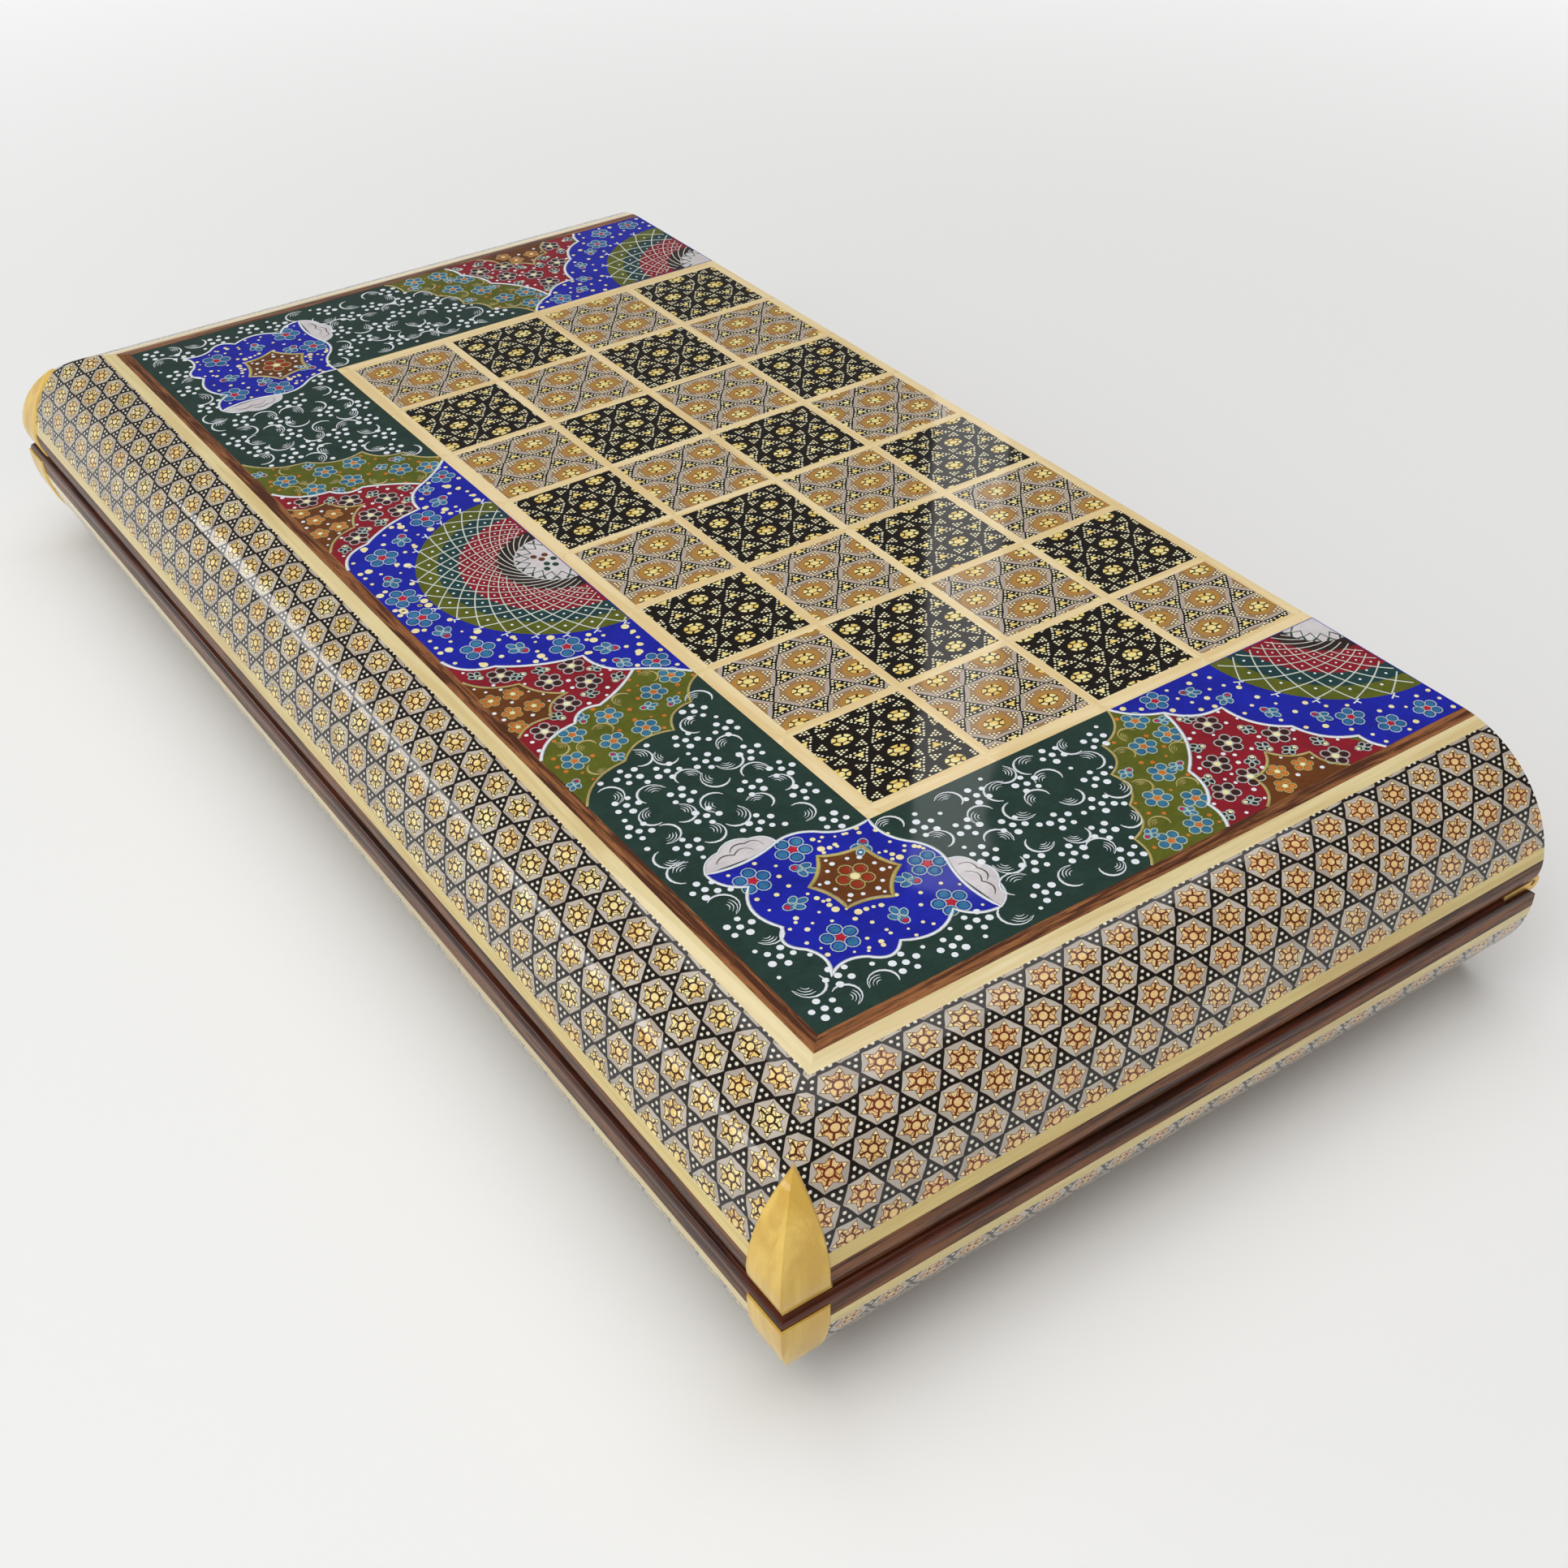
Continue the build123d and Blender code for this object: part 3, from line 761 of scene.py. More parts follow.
blue = Paint("blue", (24, 34, 172), (14, 18, 120))
crimson = Paint("crimson", (146, 24, 40), (104, 14, 26))
olive = Paint("olive", (100, 104, 28), (62, 70, 14))
teal = Paint("teal", (30, 66, 66), (18, 44, 48))
umber = Paint("umber", (112, 62, 22), (74, 38, 12))
soot = Paint("soot", (52, 34, 30), (30, 20, 20))
pearl = Paint("pearl", (222, 216, 216), (184, 174, 180))
mist_white = Paint("mist_white", (220, 226, 214), (184, 192, 178), 0.5)
white = Paint("white", (236, 240, 244), (206, 214, 222), 0.4)
cream = Paint("cream", (246, 238, 190), (228, 206, 132), 0.7)
gold = Paint("gold", (196, 178, 96), (150, 126, 52), 0.8)
turquoise = Paint("turquoise", (60, 128, 162), (34, 86, 134), 0.9)
mist = Paint("mist", (186, 210, 204), (138, 170, 164), 0.7)
ruby = Paint("ruby", (200, 34, 62), (150, 16, 36), 0.7)
slate = Paint("slate", (96, 92, 84), (62, 52, 48), 0.8)
orange = Paint("orange", (216, 126, 48), (176, 84, 26), 0.7)
leaf_green = Paint("leaf_green", (34, 72, 48), (20, 48, 34), 0.6)
rust = Paint("rust", (164, 56, 24), (118, 34, 14), 0.7)


bow_steps = 9


def polar(centre, reach, way):
    """A point by its reach from a centre and its way."""
    return (centre[0] + reach * math.cos(way), centre[1] + reach * math.sin(way))


def lobed(corners, bulges):
    """A line of bows through corners, each risen to its left by a share of its length."""
    points = []
    for (x, y), (next_x, next_y), bulge in zip(corners, corners[1:], bulges):
        run, climb = next_x - x, next_y - y
        for step in range(bow_steps):
            share = step / bow_steps
            rise = 4 * bulge * share * (1 - share)
            points.append((x + run * share - climb * rise, y + climb * share + run * rise))
    return points + [corners[-1]]


def mirrored(points):
    """The same points on the other half of the board."""
    return [(x, -y) for x, y in points]


def across_middle(half):
    """A closed outline from its near half."""
    return half + mirrored(half)[::-1]


def inside(outline, x, y, margin=0.0):
    """Whether a touch of a size lies wholly inside an outline."""
    probes = [(x, y)] + [polar((x, y), margin, k * math.pi / 4) for k in range(8 if margin else 0)]
    for px, py in probes:
        crossings = 0
        for (x0, y0), (x1, y1) in zip(outline, outline[1:] + outline[:1]):
            if (y0 > py) != (y1 > py) and px < x0 + (py - y0) / (y1 - y0) * (x1 - x0):
                crossings += 1
        if crossings % 2 == 0:
            return False
    return True


# Colour fields of the middle
# Round the half medallion lie lobed fields of blue, crimson and olive, one over the other,
# each with a light outline. They meet the frame strip on one side and the edge on the other.
blue_half = lobed([
    (frame_left, -76.3), (-49.1, -65.6), (-57.3, -51.5), (-80.3, -41.5), (panel_left, -30.5),
], [-0.04, 0.16, 0.07, 0.18])
crimson_half = lobed([
    (-49.1, -65.6), (-65.8, -75.2), (-75.7, -78.7), (panel_left, -88.3),
], [0.05, -0.22, -0.14])
olive_half = lobed([
    (frame_left, -78.7), (-44.5, -88.7), (-55.5, -97.2), (-73.6, -101.4), (panel_left, -112.4),
], [-0.12, -0.2, -0.18, -0.14])
umber_half = lobed([
    (panel_left, -43.3), (-78.9, -53.2), (-70.0, -64.9), (-79.3, -72.7), (panel_left, -75.9),
], [-0.14, -0.12, -0.2, -0.16])
middle_blue = across_middle(blue_half)
middle_crimson = across_middle(crimson_half)
middle_olive = across_middle(olive_half)
blue.wash(middle_blue, field_lifts["blue"])
crimson.wash(middle_crimson, field_lifts["crimson"])
olive.wash(middle_olive, field_lifts["olive"])

# Colour fields of the ends
# At the hinge end of each end band the same fields lie round a quarter medallion, again one
# over the other with light outlines, and run out to the edge strips.
end_blue_line = lobed([
    (45.9, -frame_end), (57.1, -168.8), (71.6, -176.2), (80.7, -193.6), (92.0, -207.0), (94.3, -panel_end),
], [-0.1, -0.16, -0.14, -0.14, -0.1])
end_crimson_line = lobed([
    (57.1, -169.2), (44.3, -192.0), (38.5, -205.2), (36.0, -panel_end),
], [0.1, 0.12, 0.1])
end_olive_line = lobed([
    (45.5, -frame_end), (33.5, -170.4), (26.9, -181.2), (22.0, -193.6), (13.5, -204.5), (10.0, -panel_end),
], [0.16, 0.2, 0.2, 0.2, 0.12])
end_umber_line = lobed([
    (50.0, -panel_end), (56.0, -204.0), (66.5, -197.5), (76.0, -204.5), (80.5, -panel_end),
], [-0.15, -0.15, -0.15, -0.15])
end_blue = end_blue_line + [(panel_right, -panel_end), (panel_right, -frame_end)]
end_crimson = end_crimson_line + [(94.3, -panel_end), (80.7, -193.6), (71.6, -176.2)]
end_olive = end_olive_line + [(94.3, -panel_end), (94.3, -frame_end)]


def both_ends(paint, act, points, *rest, **settings):
    """Paints the same thing on the near and on the far half."""
    getattr(paint, act)(points, *rest, **settings)
    getattr(paint, act)(mirrored(points), *rest, **settings)


both_ends(blue, "wash", end_blue, field_lifts["blue"])
both_ends(crimson, "wash", end_crimson, field_lifts["crimson"])
both_ends(olive, "wash", end_olive, field_lifts["olive"])
for field_outline in (umber_half, end_umber_line):
    both_ends(umber, "wash", field_outline, field_lifts["umber"])
    both_ends(gold, "stroke", field_outline, 0.9, line_lift)
for light_line in (blue_half, crimson_half, end_blue_line, end_crimson_line):
    both_ends(white, "stroke", light_line, 1.1, line_lift)
for gold_line in (olive_half, end_olive_line):
    both_ends(gold, "stroke", gold_line, 0.8, line_lift)

# The corner medallion
# A blue pointed shield on the diagonal between grid and outer corner, with a pearl cloud at
# each shoulder and a six pointed umber star in its middle.
shield_base = (frame_left, -frame_end)


def on_diagonal(along, aside):
    """A point by its way out along the diagonal from the grid's corner and its way aside."""
    reach = math.sqrt(0.5)
    return (shield_base[0] + (aside - along) * reach, shield_base[1] - (aside + along) * reach)


shield_side = lobed([
    (0, 0), (7.0, 12.8), (14.5, 22.5), (28.1, 36.6), (30.8, 25.2), (44.2, 14.2), (51.0, 7.4), (59.1, 0),
], [-0.14, 0.14, -0.08, 0.16, 0.2, 0.3, -0.18])
shield = [on_diagonal(a, b) for a, b in shield_side] + [on_diagonal(a, -b) for a, b in shield_side[-2:0:-1]]
both_ends(blue, "wash", shield, field_lifts["blue"])
both_ends(white, "stroke", shield, 1.0, line_lift, closed=True)
cloud_lift = 0.016
cloud_side = lobed([(13.0, 21.0), (12.6, 28.8), (19.2, 35.2), (28.1, 36.6)], [0.22, 0.22, 0.16])
cloud_side += [(20.0, 27.0)]
cloud_holes = [[on_diagonal(a, side * b) for a, b in cloud_side] for side in (1, -1)]
for side, cloud in zip((1, -1), cloud_holes):
    both_ends(pearl, "wash", cloud, cloud_lift)
    both_ends(white, "stroke", cloud[:-1], 0.6, line_lift)
    for billow in ([(14.2, 24.5), (14.6, 29.4), (19.0, 32.2)], [(16.5, 26.5), (19.5, 31.0), (24.0, 34.6)]):
        curved = [on_diagonal(a, side * b) for a, b in lobed(billow, [0.3, 0.25])]
        both_ends(slate, "stroke", curved, 0.5, line_lift, tapered=True)
star_middle = on_diagonal(22.6, 0)
star_line = lobed([polar(star_middle, 12, math.radians(45 + 60 * k)) for k in range(7)], [0.09] * 6)[:-1]
both_ends(umber, "wash", star_line, wash_lift)
both_ends(gold, "stroke", star_line, 1.2, line_lift, closed=True)


# Flowers, buds, dots and curls
# Small things are set with a few touches of the brush: petals with a light line round them,
# strings of dots, and on the green ground dot clusters and comma curls.


def ring(x, y, length, width, turn, points=10):
    """The points of an oval."""
    turned = []
    for k in range(points):
        a = 2 * math.pi * k / points
        u, w = length / 2 * math.cos(a), width / 2 * math.sin(a)
        turned.append((x + u * math.cos(turn) - w * math.sin(turn),
                       y + u * math.sin(turn) + w * math.cos(turn)))
    return turned


def petal(x, y, length, width, turn, fill, line):
    """One petal with a light line round it, a little apart."""
    for sign in (1, -1):
        fill.dab(x, sign * y, length * 0.72, width * 0.72, sign * turn)
        line.stroke(ring(x, sign * y, length, width, sign * turn), 0.4, line_lift, closed=True)


def spot(paint, x, y, size, lift=touch_lift):
    """A round touch on the near and the far half."""
    for sign in (1, -1):
        paint.dab(x, sign * y, size, size, 0.0, lift)


flowers_set = []


def clear(x, y, margin):
    """Whether a place is clear of all flowers set so far."""
    return all(math.dist((x, y), place) > reach + margin for place, reach in flowers_set)


def flower(x, y, size, turn, fill, line, heart):
    """Five petals round a heart."""
    flowers_set.append(((x, y), size * 0.54))
    for k in range(5):
        way = turn + 2 * math.pi * k / 5
        petal(*polar((x, y), size * 0.33, way), size * 0.4, size * 0.4, way, fill, line)
    spot(heart, x, y, size * 0.28)


def bud(x, y, size, turn, fill, line, heart):
    """Three leaves behind a round bud."""
    flowers_set.append((polar((x, y), -size * 0.25, turn), size * 0.62))
    for way, reach in ((2.5, 0.4), (-2.5, 0.4), (math.pi, 0.62)):
        petal(*polar((x, y), size * reach, turn + way), size * 0.5, size * 0.34, turn + way, fill, line)
    petal(x, y, size * 0.56, size * 0.44, turn, fill, line)
    spot(heart, *polar((x, y), size * 0.08, turn), size * 0.27)


def dot_string(paint, points, size):
    """Dots along a line, large and small by turns, left out where a flower is."""
    for k, (x, y) in enumerate(points):
        if clear(x, y, size / 2):
            spot(paint, x, y, size * (1.0, 0.72, 0.52, 0.72)[k % 4])


cluster_dot = 1.95


def cluster(x, y, turn):
    """Six white dots close together."""
    spot(white, x, y, cluster_dot)
    for k, share in enumerate((1.0, 0.85, 1.0, 0.9, 1.1)):
        way = turn + 2 * math.pi * k / 5
        spot(white, x + 3.3 * math.cos(way), y + 3.0 * math.sin(way), cluster_dot * share)


def curl(x, y, turn, size, hand, paint=white):
    """A comma stroke with three short strokes in its bend."""
    def placed(points):
        return [(x + size * (u * math.cos(turn) - hand * w * math.sin(turn)),
                 y + size * (u * math.sin(turn) + hand * w * math.cos(turn))) for u, w in points]
    bow = [polar((0, 0), 0.6 - 0.012 * k, 2.1 - 0.36 * k) for k in range(11)]
    both_ends(paint, "stroke", placed(bow), 0.8, touch_lift, tapered=True)
    for reach in (0.42, 0.30, 0.18):
        ripple = [polar((-0.1, 0.1), reach, way) for way in (1.9, 1.45, 1.0, 0.55, 0.1)]
        both_ends(paint, "stroke", placed(ripple), 0.36, touch_lift, tapered=True)


hand_of_painter = random.Random(7)
touch_probes = ((0, 0), (1, 0), (-1, 0), (0, 1), (0, -1))


def any_turn():
    """A turn of the painter's hand."""
    return hand_of_painter.uniform(0, 6.28)


def scatter(region, holes, bounds, gap, margin, tries=4000, taken=()):
    """Places spread over a region, a gap apart and clear of holes and of what is taken."""
    low_x, high_x, low_y, high_y = bounds
    placed = []
    for _ in range(tries):
        x = hand_of_painter.uniform(low_x, high_x)
        y = hand_of_painter.uniform(low_y, high_y)
        if any(math.dist((x, y), other) < gap for other in placed):
            continue
        if any(math.dist((x, y), other) < gap / 2 + 2.6 for other in taken) or not clear(x, y, margin * 0.8):
            continue
        if inside(region, x, y, margin) and not any(inside(hole, x + margin * to_x, y + margin * to_y)
                                                    for hole in holes for to_x, to_y in touch_probes):
            placed.append((x, y))
    return placed


# Flowers of the shield
# Turquoise flowers and buds with ruby hearts take turns round the star, with strings of cream
# dots between them, and a flower of rust and gold fills the star.
flower_ring = [(9.5, 0.0, 0), (15.0, 17.0, 1), (28.5, 24.5, 1),
               (36.5, 14.0, 0), (45.5, 0.0, 1), (22.0, 14.8, 0)]
for along, aside, full in flower_ring:
    for side in ((1, -1) if aside else (1,)):
        x, y = on_diagonal(along, side * aside)
        away = math.atan2(y - star_middle[1], x - star_middle[0])
        if full:
            flower(x, y, 9.6, away, turquoise, mist, ruby)
        else:
            bud(x, y, 6.2, away, turquoise, mist, ruby)
    if aside:
        for side in (1, -1):
            ends = [(along - 3.5, side * (aside - 4.5)), (along + 4.5, side * (aside - 1.5))]
            dot_string(cream, [on_diagonal(a, b) for a, b in lobed(ends, [0.3 * side])[::2]], 1.8)
for side in (1, -1):
    for ends, bulge in (([(4.0, 2.5), (9.0, 10.5), (10.5, 17.5)], 0.12),
                        ([(33.0, 21.0), (42.0, 11.5), (50.0, 4.0)], 0.1)):
        string = lobed([(a, side * b) for a, b in ends], [bulge] * 2)[::3]
        dot_string(cream, [on_diagonal(a, b) for a, b in string], 1.5)
for k in range(6):
    string = [polar(star_middle, reach, math.radians(45 + 60 * k + turn))
              for turn, reach in ((12, 13.4), (21, 12.6), (30, 12.3), (39, 12.6), (48, 13.4))]
    dot_string(cream, string, 2.1)
flower(*star_middle, 9.6, 0.5, rust, gold, cream)
for k in range(6):
    for turn, reach, size in ((0, 9.3, 1.0), (0, 7.3, 1.5), (25, 7.0, 1.2)):
        spot(white, *polar(star_middle, reach, math.radians(45 + 60 * k + turn)), size)

# Dots and curls of the green ground
# What the fields and the shield leave free is filled with white clusters of dots and
# comma curls, and with single dots where there is still room.
bare = 2
ground = across_middle([
    (panel_left + bare, 0), (panel_left + bare, -panel_end + bare), (panel_right - bare, -panel_end + bare),
    (panel_right - bare, -frame_end - bare), (frame_left - bare, -frame_end - bare), (frame_left - bare, 0),
])
holes = [middle_olive, end_olive, end_blue, shield] + cloud_holes
ground_bounds = (panel_left, panel_right, -panel_end, -70)
cluster_places = scatter(ground, holes, ground_bounds, gap=10.4, margin=3.4, tries=9000)
curl_places = scatter(ground, holes, ground_bounds, gap=7.2, margin=2.9, tries=9000, taken=cluster_places)
for x, y in cluster_places:
    cluster(x, y, any_turn())
for x, y in curl_places:
    turn = any_turn()
    curl(x, y, turn, 7.2 + hand_of_painter.uniform(-0.8, 0.8), hand_of_painter.choice((1, -1)))
for x, y in scatter(ground, holes, ground_bounds, gap=6.2, margin=1.2, tries=9000,
                    taken=cluster_places + curl_places):
    spot(white, x, y, hand_of_painter.uniform(1.1, 1.8))

# Flowers and dots of the coloured fields
# Each field has flowers and buds in colours of its own, spread: turquoise and orange on
# olive, dark brown on crimson, orange and gold on umber, with small dots in between.
middle_bounds = (panel_left, frame_left, -114, -28)
end_bounds = (8, panel_right, -panel_end, -frame_end)
for region, over, bounds in ((middle_olive, [middle_crimson, middle_blue], middle_bounds),
                             (end_olive, [end_crimson, end_blue], end_bounds)):
    full = scatter(region, over, bounds, gap=9.0, margin=3.7)
    small = scatter(region, over, bounds, gap=6.4, margin=2.4, tries=3000, taken=full)
    for x, y in full:
        flower(x, y, 7.6, any_turn(), turquoise, mist, orange)
    for index, (x, y) in enumerate(small):
        turn = any_turn()
        if index % 2:
            bud(x, y, 4.6, turn, turquoise, mist, ruby)
        else:
            curl(x, y, turn, 5.4, 1, gold)
    for x, y in scatter(region, over, bounds, gap=2.9, margin=0.9, tries=2500, taken=full + small):
        spot(orange, x, y, hand_of_painter.uniform(0.9, 1.5), spot_lift)
for region, over, bounds in ((middle_crimson, [middle_blue, umber_half], middle_bounds),
                             (end_crimson, [end_blue, end_umber_line], end_bounds)):
    full = scatter(region, over, bounds, gap=9.0, margin=3.6)
    small = scatter(region, over, bounds, gap=6.4, margin=2.4, tries=3000, taken=full)
    for x, y in full:
        flower(x, y, 7.6, any_turn(), soot, mist, cream)
    for x, y in small:
        bud(x, y, 4.6, any_turn(), soot, mist, cream)
    for x, y in scatter(region, over, bounds, gap=2.9, margin=0.9, tries=2500, taken=full + small):
        spot(white, x, y, hand_of_painter.uniform(0.9, 1.5), spot_lift)
for region, bounds in ((umber_half + [(panel_left - 1, -60)], middle_bounds), (end_umber_line, end_bounds)):
    for x, y in scatter(region, [], bounds, gap=6.0, margin=2.2, tries=1200):
        flower(x, y, 5.6, any_turn(), orange, gold, cream)
    for x, y in scatter(region, [], bounds, gap=3.2, margin=0.9, tries=800):
        spot(white, x, y, hand_of_painter.uniform(0.8, 1.4), spot_lift)

# The medallions
# Rings of olive, teal, crimson, dark brown and pearl round a centre on the frame strip, under a
# net of white spiral lines drawn both ways with a dot in each mesh.
rim_steps = 48
net_steps = 18
net_reach = 0.3
ring_rise = 0.002


def spiral_turn(radius, reach):
    """How far a spiral of the net has turned round at a reach."""
    depth = math.log(radius / reach)
    return depth + 0.25 * depth * depth


def spiral_net(centre, radius, lines, clip):
    """Spirals both ways from the rim inwards, thinner in their inner half."""
    for hand, line_end in ((1, net_steps), (-1, 15)):
        for k in range(lines):
            start = 2 * math.pi * k / lines
            for first_step, last_step, width in ((0, 9, 0.5), (9, line_end, 0.38)):
                steps = range(first_step, last_step + 1)
                reaches = [radius - (radius - radius * net_reach) * step / net_steps for step in steps]
                turns = [start + hand * spiral_turn(radius, reach) for reach in reaches]
                points = [polar(centre, reach, turn) for reach, turn in zip(reaches, turns)]
                for in_sight, run in itertools.groupby(points, lambda point: clip(*point)):
                    run = list(run)
                    if in_sight and len(run) > 1:
                        mist_white.stroke(run, width, spot_lift)


def mesh_dots(centre, radius, lines, clip):
    """A dot in each mesh of the net, smaller towards the middle. Halving finds each layer's reach."""
    for layer in range(1, 16):
        wanted = layer * math.pi / lines
        low, high = radius * net_reach, radius
        for _ in range(30):
            middle = (low + high) / 2
            if spiral_turn(radius, middle) > wanted:
                low = middle
            else:
                high = middle
        for k in range(lines):
            point = polar(centre, low, 2 * math.pi * k / lines + (layer + 1) * math.pi / lines)
            if clip(*point) and low > radius * net_reach * 1.45:
                white.dab(*point, 0.2 + 0.85 * low / radius, lift=touch_lift)


def medallion(centre, radius, rings, lines, first, last, clip):
    """A medallion's part between two angles, kept inside a rule for its points."""
    for index, (paint, reach) in enumerate(rings):
        rim = [polar(centre, reach, first + (last - first) * k / rim_steps) for k in range(rim_steps + 1)]
        paint.wash(rim + [centre], wash_lift + ring_rise * index)
    spiral_net(centre, radius, lines, clip)
    mesh_dots(centre, radius, lines, clip)
    for k in range(lines):
        angle = 2 * math.pi * k / lines
        tip = polar(centre, radius + 0.9, angle)
        if clip(*tip):
            for way in (0.8, -0.8, 2.4):
                white.stroke([tip, polar(tip, 1.5, angle + way)], 0.55, touch_lift)
    teeth = []
    tooth_steps = round(18 * (last - first) / math.pi)
    for k in range(tooth_steps + 1):
        angle = first + (last - first) * k / tooth_steps
        teeth.append(polar(centre, radius * (0.262 if k % 2 else 0.198), angle))
        if k % 2:
            for way in (0.7, -0.7):
                end = polar(teeth[-1], 1.9, angle + way)
                if clip(*end):
                    leaf_green.stroke([teeth[-1], end], 0.75, line_lift)
    leaf_green.stroke(teeth, 0.75, line_lift)


half_radius, quarter_radius = 43.0, 41.0
wash_gap, line_gap = 0.3, 0.4
medallion_rings = [(olive, half_radius), (teal, 36.5), (crimson, 30.0), (soot, 18.5), (pearl, 13.2)]
half_centre = (frame_left - wash_gap, 0.0)
medallion(half_centre, half_radius, medallion_rings, 31, math.pi / 2, 3 * math.pi / 2,
          lambda x, y: x < frame_left - line_gap)
seeds = ((-1.2, 0.0), (-2.4, -3.4), (-2.4, 3.4), (-4.4, -1.6), (-4.4, 1.6), (-5.8, -4.2), (-5.8, 4.2))
for along, aside in seeds:
    (leaf_green, umber)[aside > 0].dab(half_centre[0] + along, aside, 2.3, 2.6)
quarter_rings = [(olive, quarter_radius), (teal, 34.5), (crimson, 28.0), (soot, 17.0), (pearl, 12.2)]
for sign in (1, -1):
    centre = (panel_right - wash_gap, sign * (frame_end + wash_gap))
    first, last = (math.pi / 2, math.pi) if sign > 0 else (math.pi, 3 * math.pi / 2)
    medallion(centre, quarter_radius, quarter_rings, 24, first, last,
              lambda x, y: x < panel_right - line_gap and abs(y) > frame_end + line_gap)

# Flowers of the blue fields
# Round the half medallion flowers and buds take turns in the blue band, with a string of dots
# between them. The corners of the band and the fields of the ends are filled.


def band_place(degrees, share):
    """A place in the blue band by its way round the medallion and its share of the way across."""
    way = math.pi + math.radians(degrees)
    reach = half_radius
    while inside(middle_blue, *polar(half_centre, reach, way)) and reach < 66:
        reach += 0.5
    return *polar(half_centre, half_radius + (reach - half_radius) * share, way), reach - half_radius


for k in range(6):
    x, y, width = band_place(7.5 + 14 * k, 0.5)
    way = math.pi + math.radians(7.5 + 14 * k)
    if k % 2:
        bud(x, y, min(6.6, width * 0.62), way + 1.2, turquoise, mist, ruby)
    else:
        flower(x, y, min(9.8, width - 2.4), way, turquoise, mist, ruby)
flower(frame_left - 5.6, -66.0, 8.0, 0.3, turquoise, mist, ruby)
bud(frame_left - 14.5, -59.5, 5.6, 2.0, turquoise, mist, ruby)
for k in range(7):
    string = [band_place(0.5 + 14 * k + 2.4 * math.sin(5.0 * share), share)[:2]
              for share in (0.12, 0.27, 0.42, 0.57, 0.72, 0.87)]
    dot_string(cream, string[::(1, -1)[k % 2]], 2.5)
flower_rim = ring(panel_right, -frame_end, 92, 92, 0, rim_steps)
for x, y in scatter(end_blue, [flower_rim], end_bounds, gap=9.2, margin=4.2):
    turn = any_turn()
    if hand_of_painter.random() < 0.6:
        flower(x, y, 7.8, turn, turquoise, mist, ruby)
    else:
        bud(x, y, 5.4, turn, turquoise, mist, ruby)
dot_rim = ring(panel_right, -frame_end, 86, 86, 0, rim_steps)
for x, y in scatter(end_blue, [dot_rim], end_bounds, gap=3.9, margin=1.2, tries=2500):
    spot(cream, x, y, hand_of_painter.uniform(1.0, 1.9), spot_lift)
half_rim = ring(*half_centre, 90, 90, 0, rim_steps)
band_bounds = (panel_left, frame_left, -77, 0)
for x, y in scatter(middle_blue, [half_rim], band_bounds, gap=4.1, margin=1.4, tries=3000):
    spot(cream, x, y, hand_of_painter.uniform(0.9, 1.7), spot_lift)
shield_bounds = (-90, -25, -206, -145)
for x, y in scatter(shield, [star_line], shield_bounds, gap=4.0, margin=1.3, tries=3000):
    spot(cream, x, y, hand_of_painter.uniform(0.8, 1.5), spot_lift)

# Laying the paint on the trays
# Every colour's fields, strokes and touches are laid on the upper panel as one thin coat, and
# the lower tray has the same ornament on its own face.
stroke_flatness = 0.03
coat_height = 0.016


def as_mesh(curve, place):
    """A curve made a mesh and put in its place."""
    laid = bpy.data.objects.new(curve.name, curve)
    bpy.context.collection.objects.link(laid)
    bpy.context.view_layer.objects.active = laid
    laid.select_set(True)
    bpy.ops.object.convert(target="MESH")
    bpy.context.object.data.transform(place)
    return bpy.context.object


def flat_field(outline, lift):
    """A thin filled curve at its height."""
    curve = bpy.data.curves.new("field", "CURVE")
    curve.dimensions, curve.fill_mode, curve.extrude = "2D", "BOTH", 0.002 * mm
    line = curve.splines.new("POLY")
    line.points.add(len(outline) - 1)
    for point, (x, y) in zip(line.points, outline):
        point.co = (x * mm, y * mm, 0, 1)
    line.use_cyclic_u = True
    return as_mesh(curve, Matrix.Translation((0, 0, (panel_top + lift) * mm)))


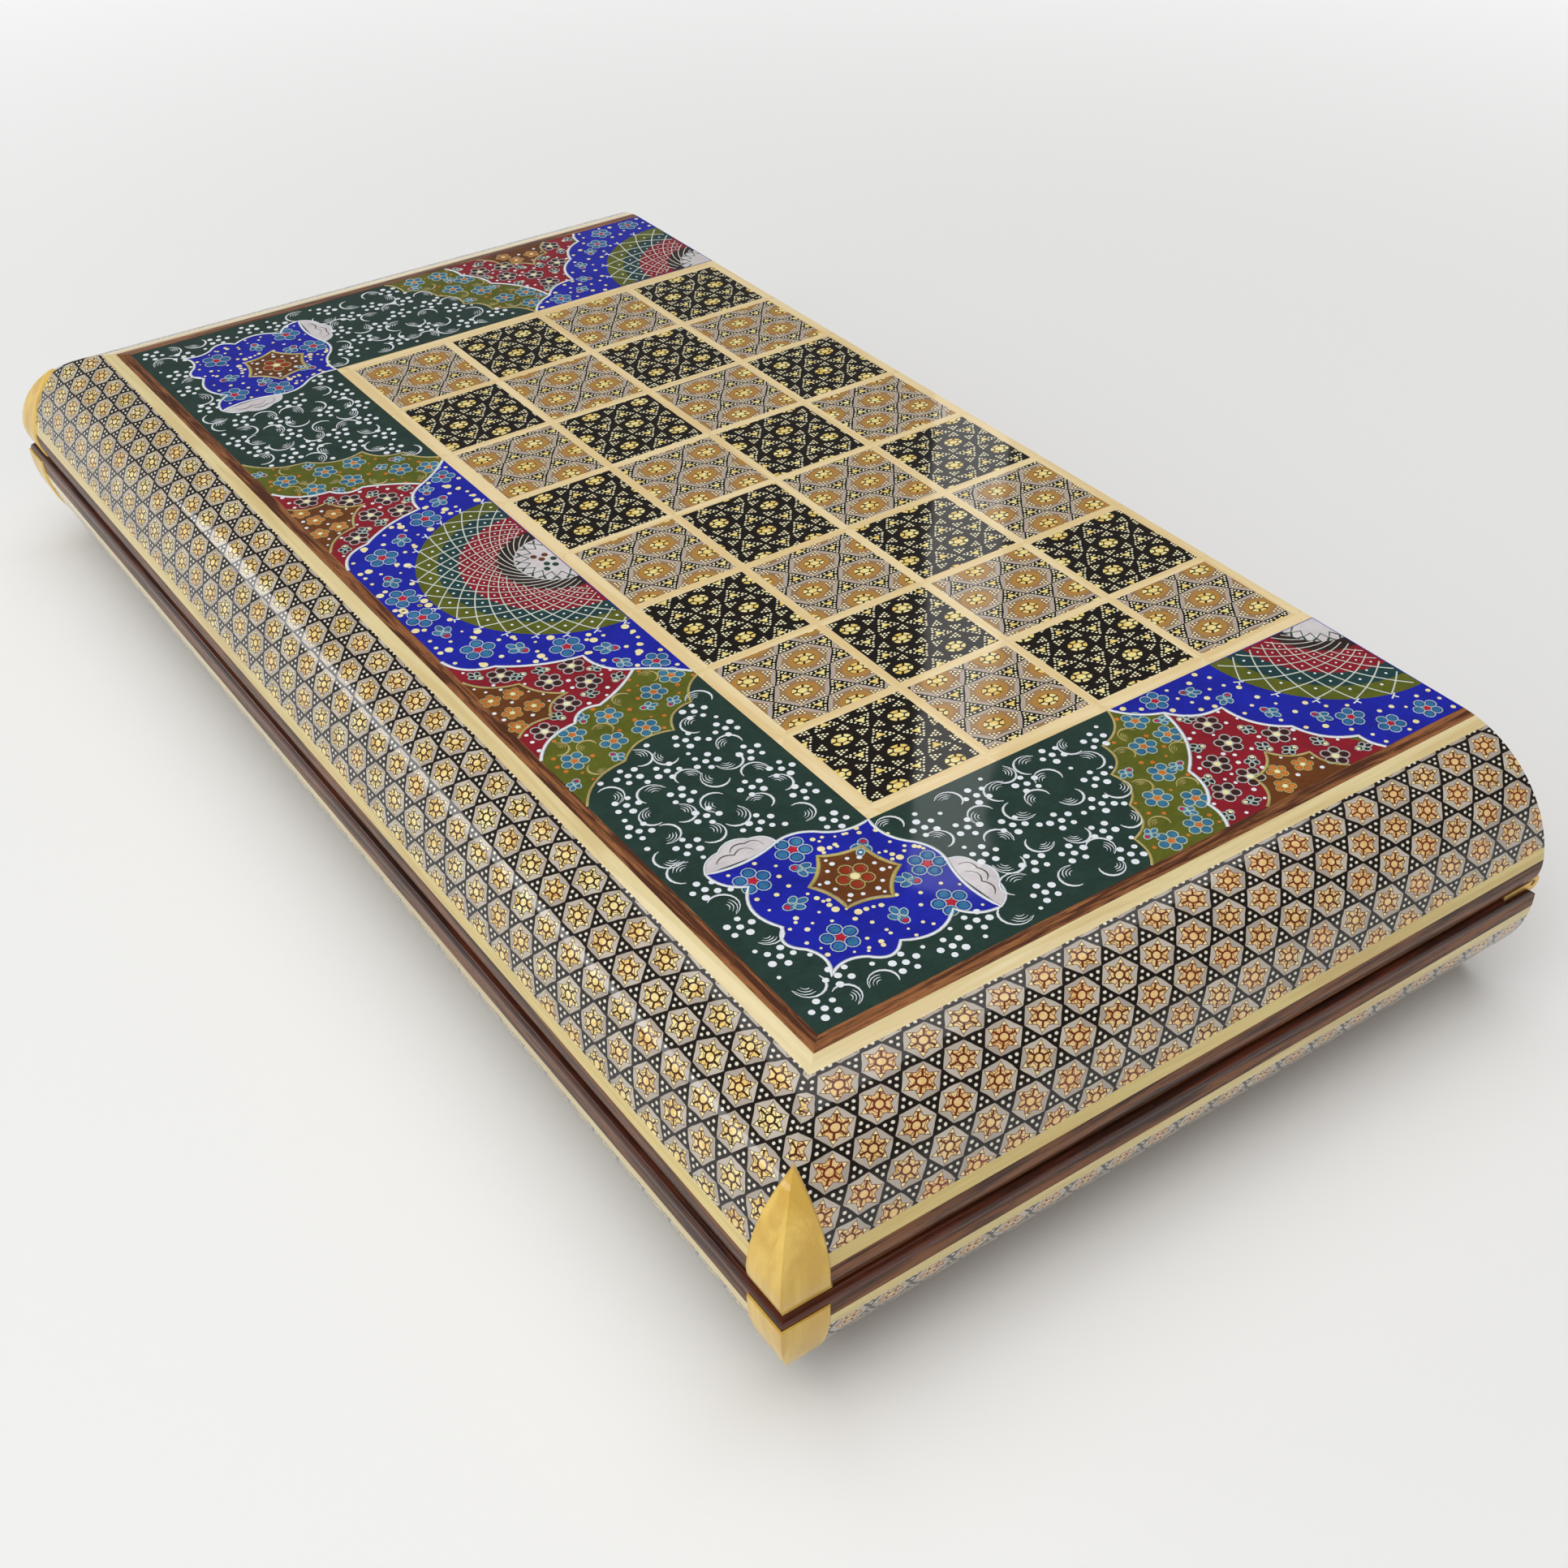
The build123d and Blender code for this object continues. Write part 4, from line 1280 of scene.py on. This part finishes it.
def brush_lines(strokes):
    """All strokes of a colour as one curve of round lines, pressed flat."""
    curve = bpy.data.curves.new("lines", "CURVE")
    curve.dimensions, curve.bevel_depth, curve.bevel_resolution, curve.use_fill_caps = "3D", mm, 0, True
    for points, width, lift, closed, tapered in strokes:
        line = curve.splines.new("POLY")
        line.points.add(len(points) - 1)
        for index, (point, (x, y)) in enumerate(zip(line.points, points)):
            share = index / (len(points) - 1)
            point.co = (x * mm, y * mm, lift * mm / stroke_flatness, 1)
            point.radius = width / 2 * (0.3 + 0.7 * math.sin(math.pi * share ** 1.7) if tapered else 1)
        line.use_cyclic_u = closed
    pressed = Matrix.Diagonal((1, 1, stroke_flatness, 1))
    return as_mesh(curve, Matrix.Translation((0, 0, panel_top * mm)) @ pressed)


bpy.ops.mesh.primitive_cone_add(vertices=10, radius1=1, radius2=0.72, depth=1, location=(0, 0, 0))
touch = bpy.context.object
touch_points = [vertex.co.copy() for vertex in touch.data.vertices]
touch_faces = [tuple(face.vertices) for face in touch.data.polygons]
bpy.data.objects.remove(touch)


def brush_touches(dabs):
    """All dots and petals of a colour, each a copy of one flat bevelled touch."""
    points, faces = [], []
    for x, y, length, width, turn, lift in dabs:
        base = len(points)
        sized = Matrix.Diagonal((length * mm, width * mm, coat_height * mm, 1))
        turned = Matrix.Translation((x * mm, y * mm, (panel_top + lift) * mm)) @ Matrix.Rotation(turn, 4, "Z")
        points += [turned @ sized @ point for point in touch_points]
        faces += [tuple(base + corner for corner in face) for face in touch_faces]
    mesh = bpy.data.meshes.new("touches")
    mesh.from_pydata(points, [], faces)
    laid = bpy.data.objects.new("touches", mesh)
    bpy.context.collection.objects.link(laid)
    return laid


for paint in palette.values():
    bpy.ops.object.select_all(action="DESELECT")
    laid = [flat_field(outline, lift) for outline, lift in paint.washes]
    laid += [brush_lines(paint.strokes)] if paint.strokes else []
    laid += [brush_touches(paint.dabs)] if paint.dabs else []
    for part in laid:
        part.select_set(True)
    bpy.context.view_layer.objects.active = laid[0]
    if len(laid) > 1:
        bpy.ops.object.join()
    upper = bpy.context.object
    upper.data.materials.clear()
    upper.data.materials.append(paint.finish)
    for half, piece in (("upper", upper), ("lower", other_half(upper))):
        piece.name = f"{half}_paint_{paint.name}"
        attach(piece, f"{half}_tray")
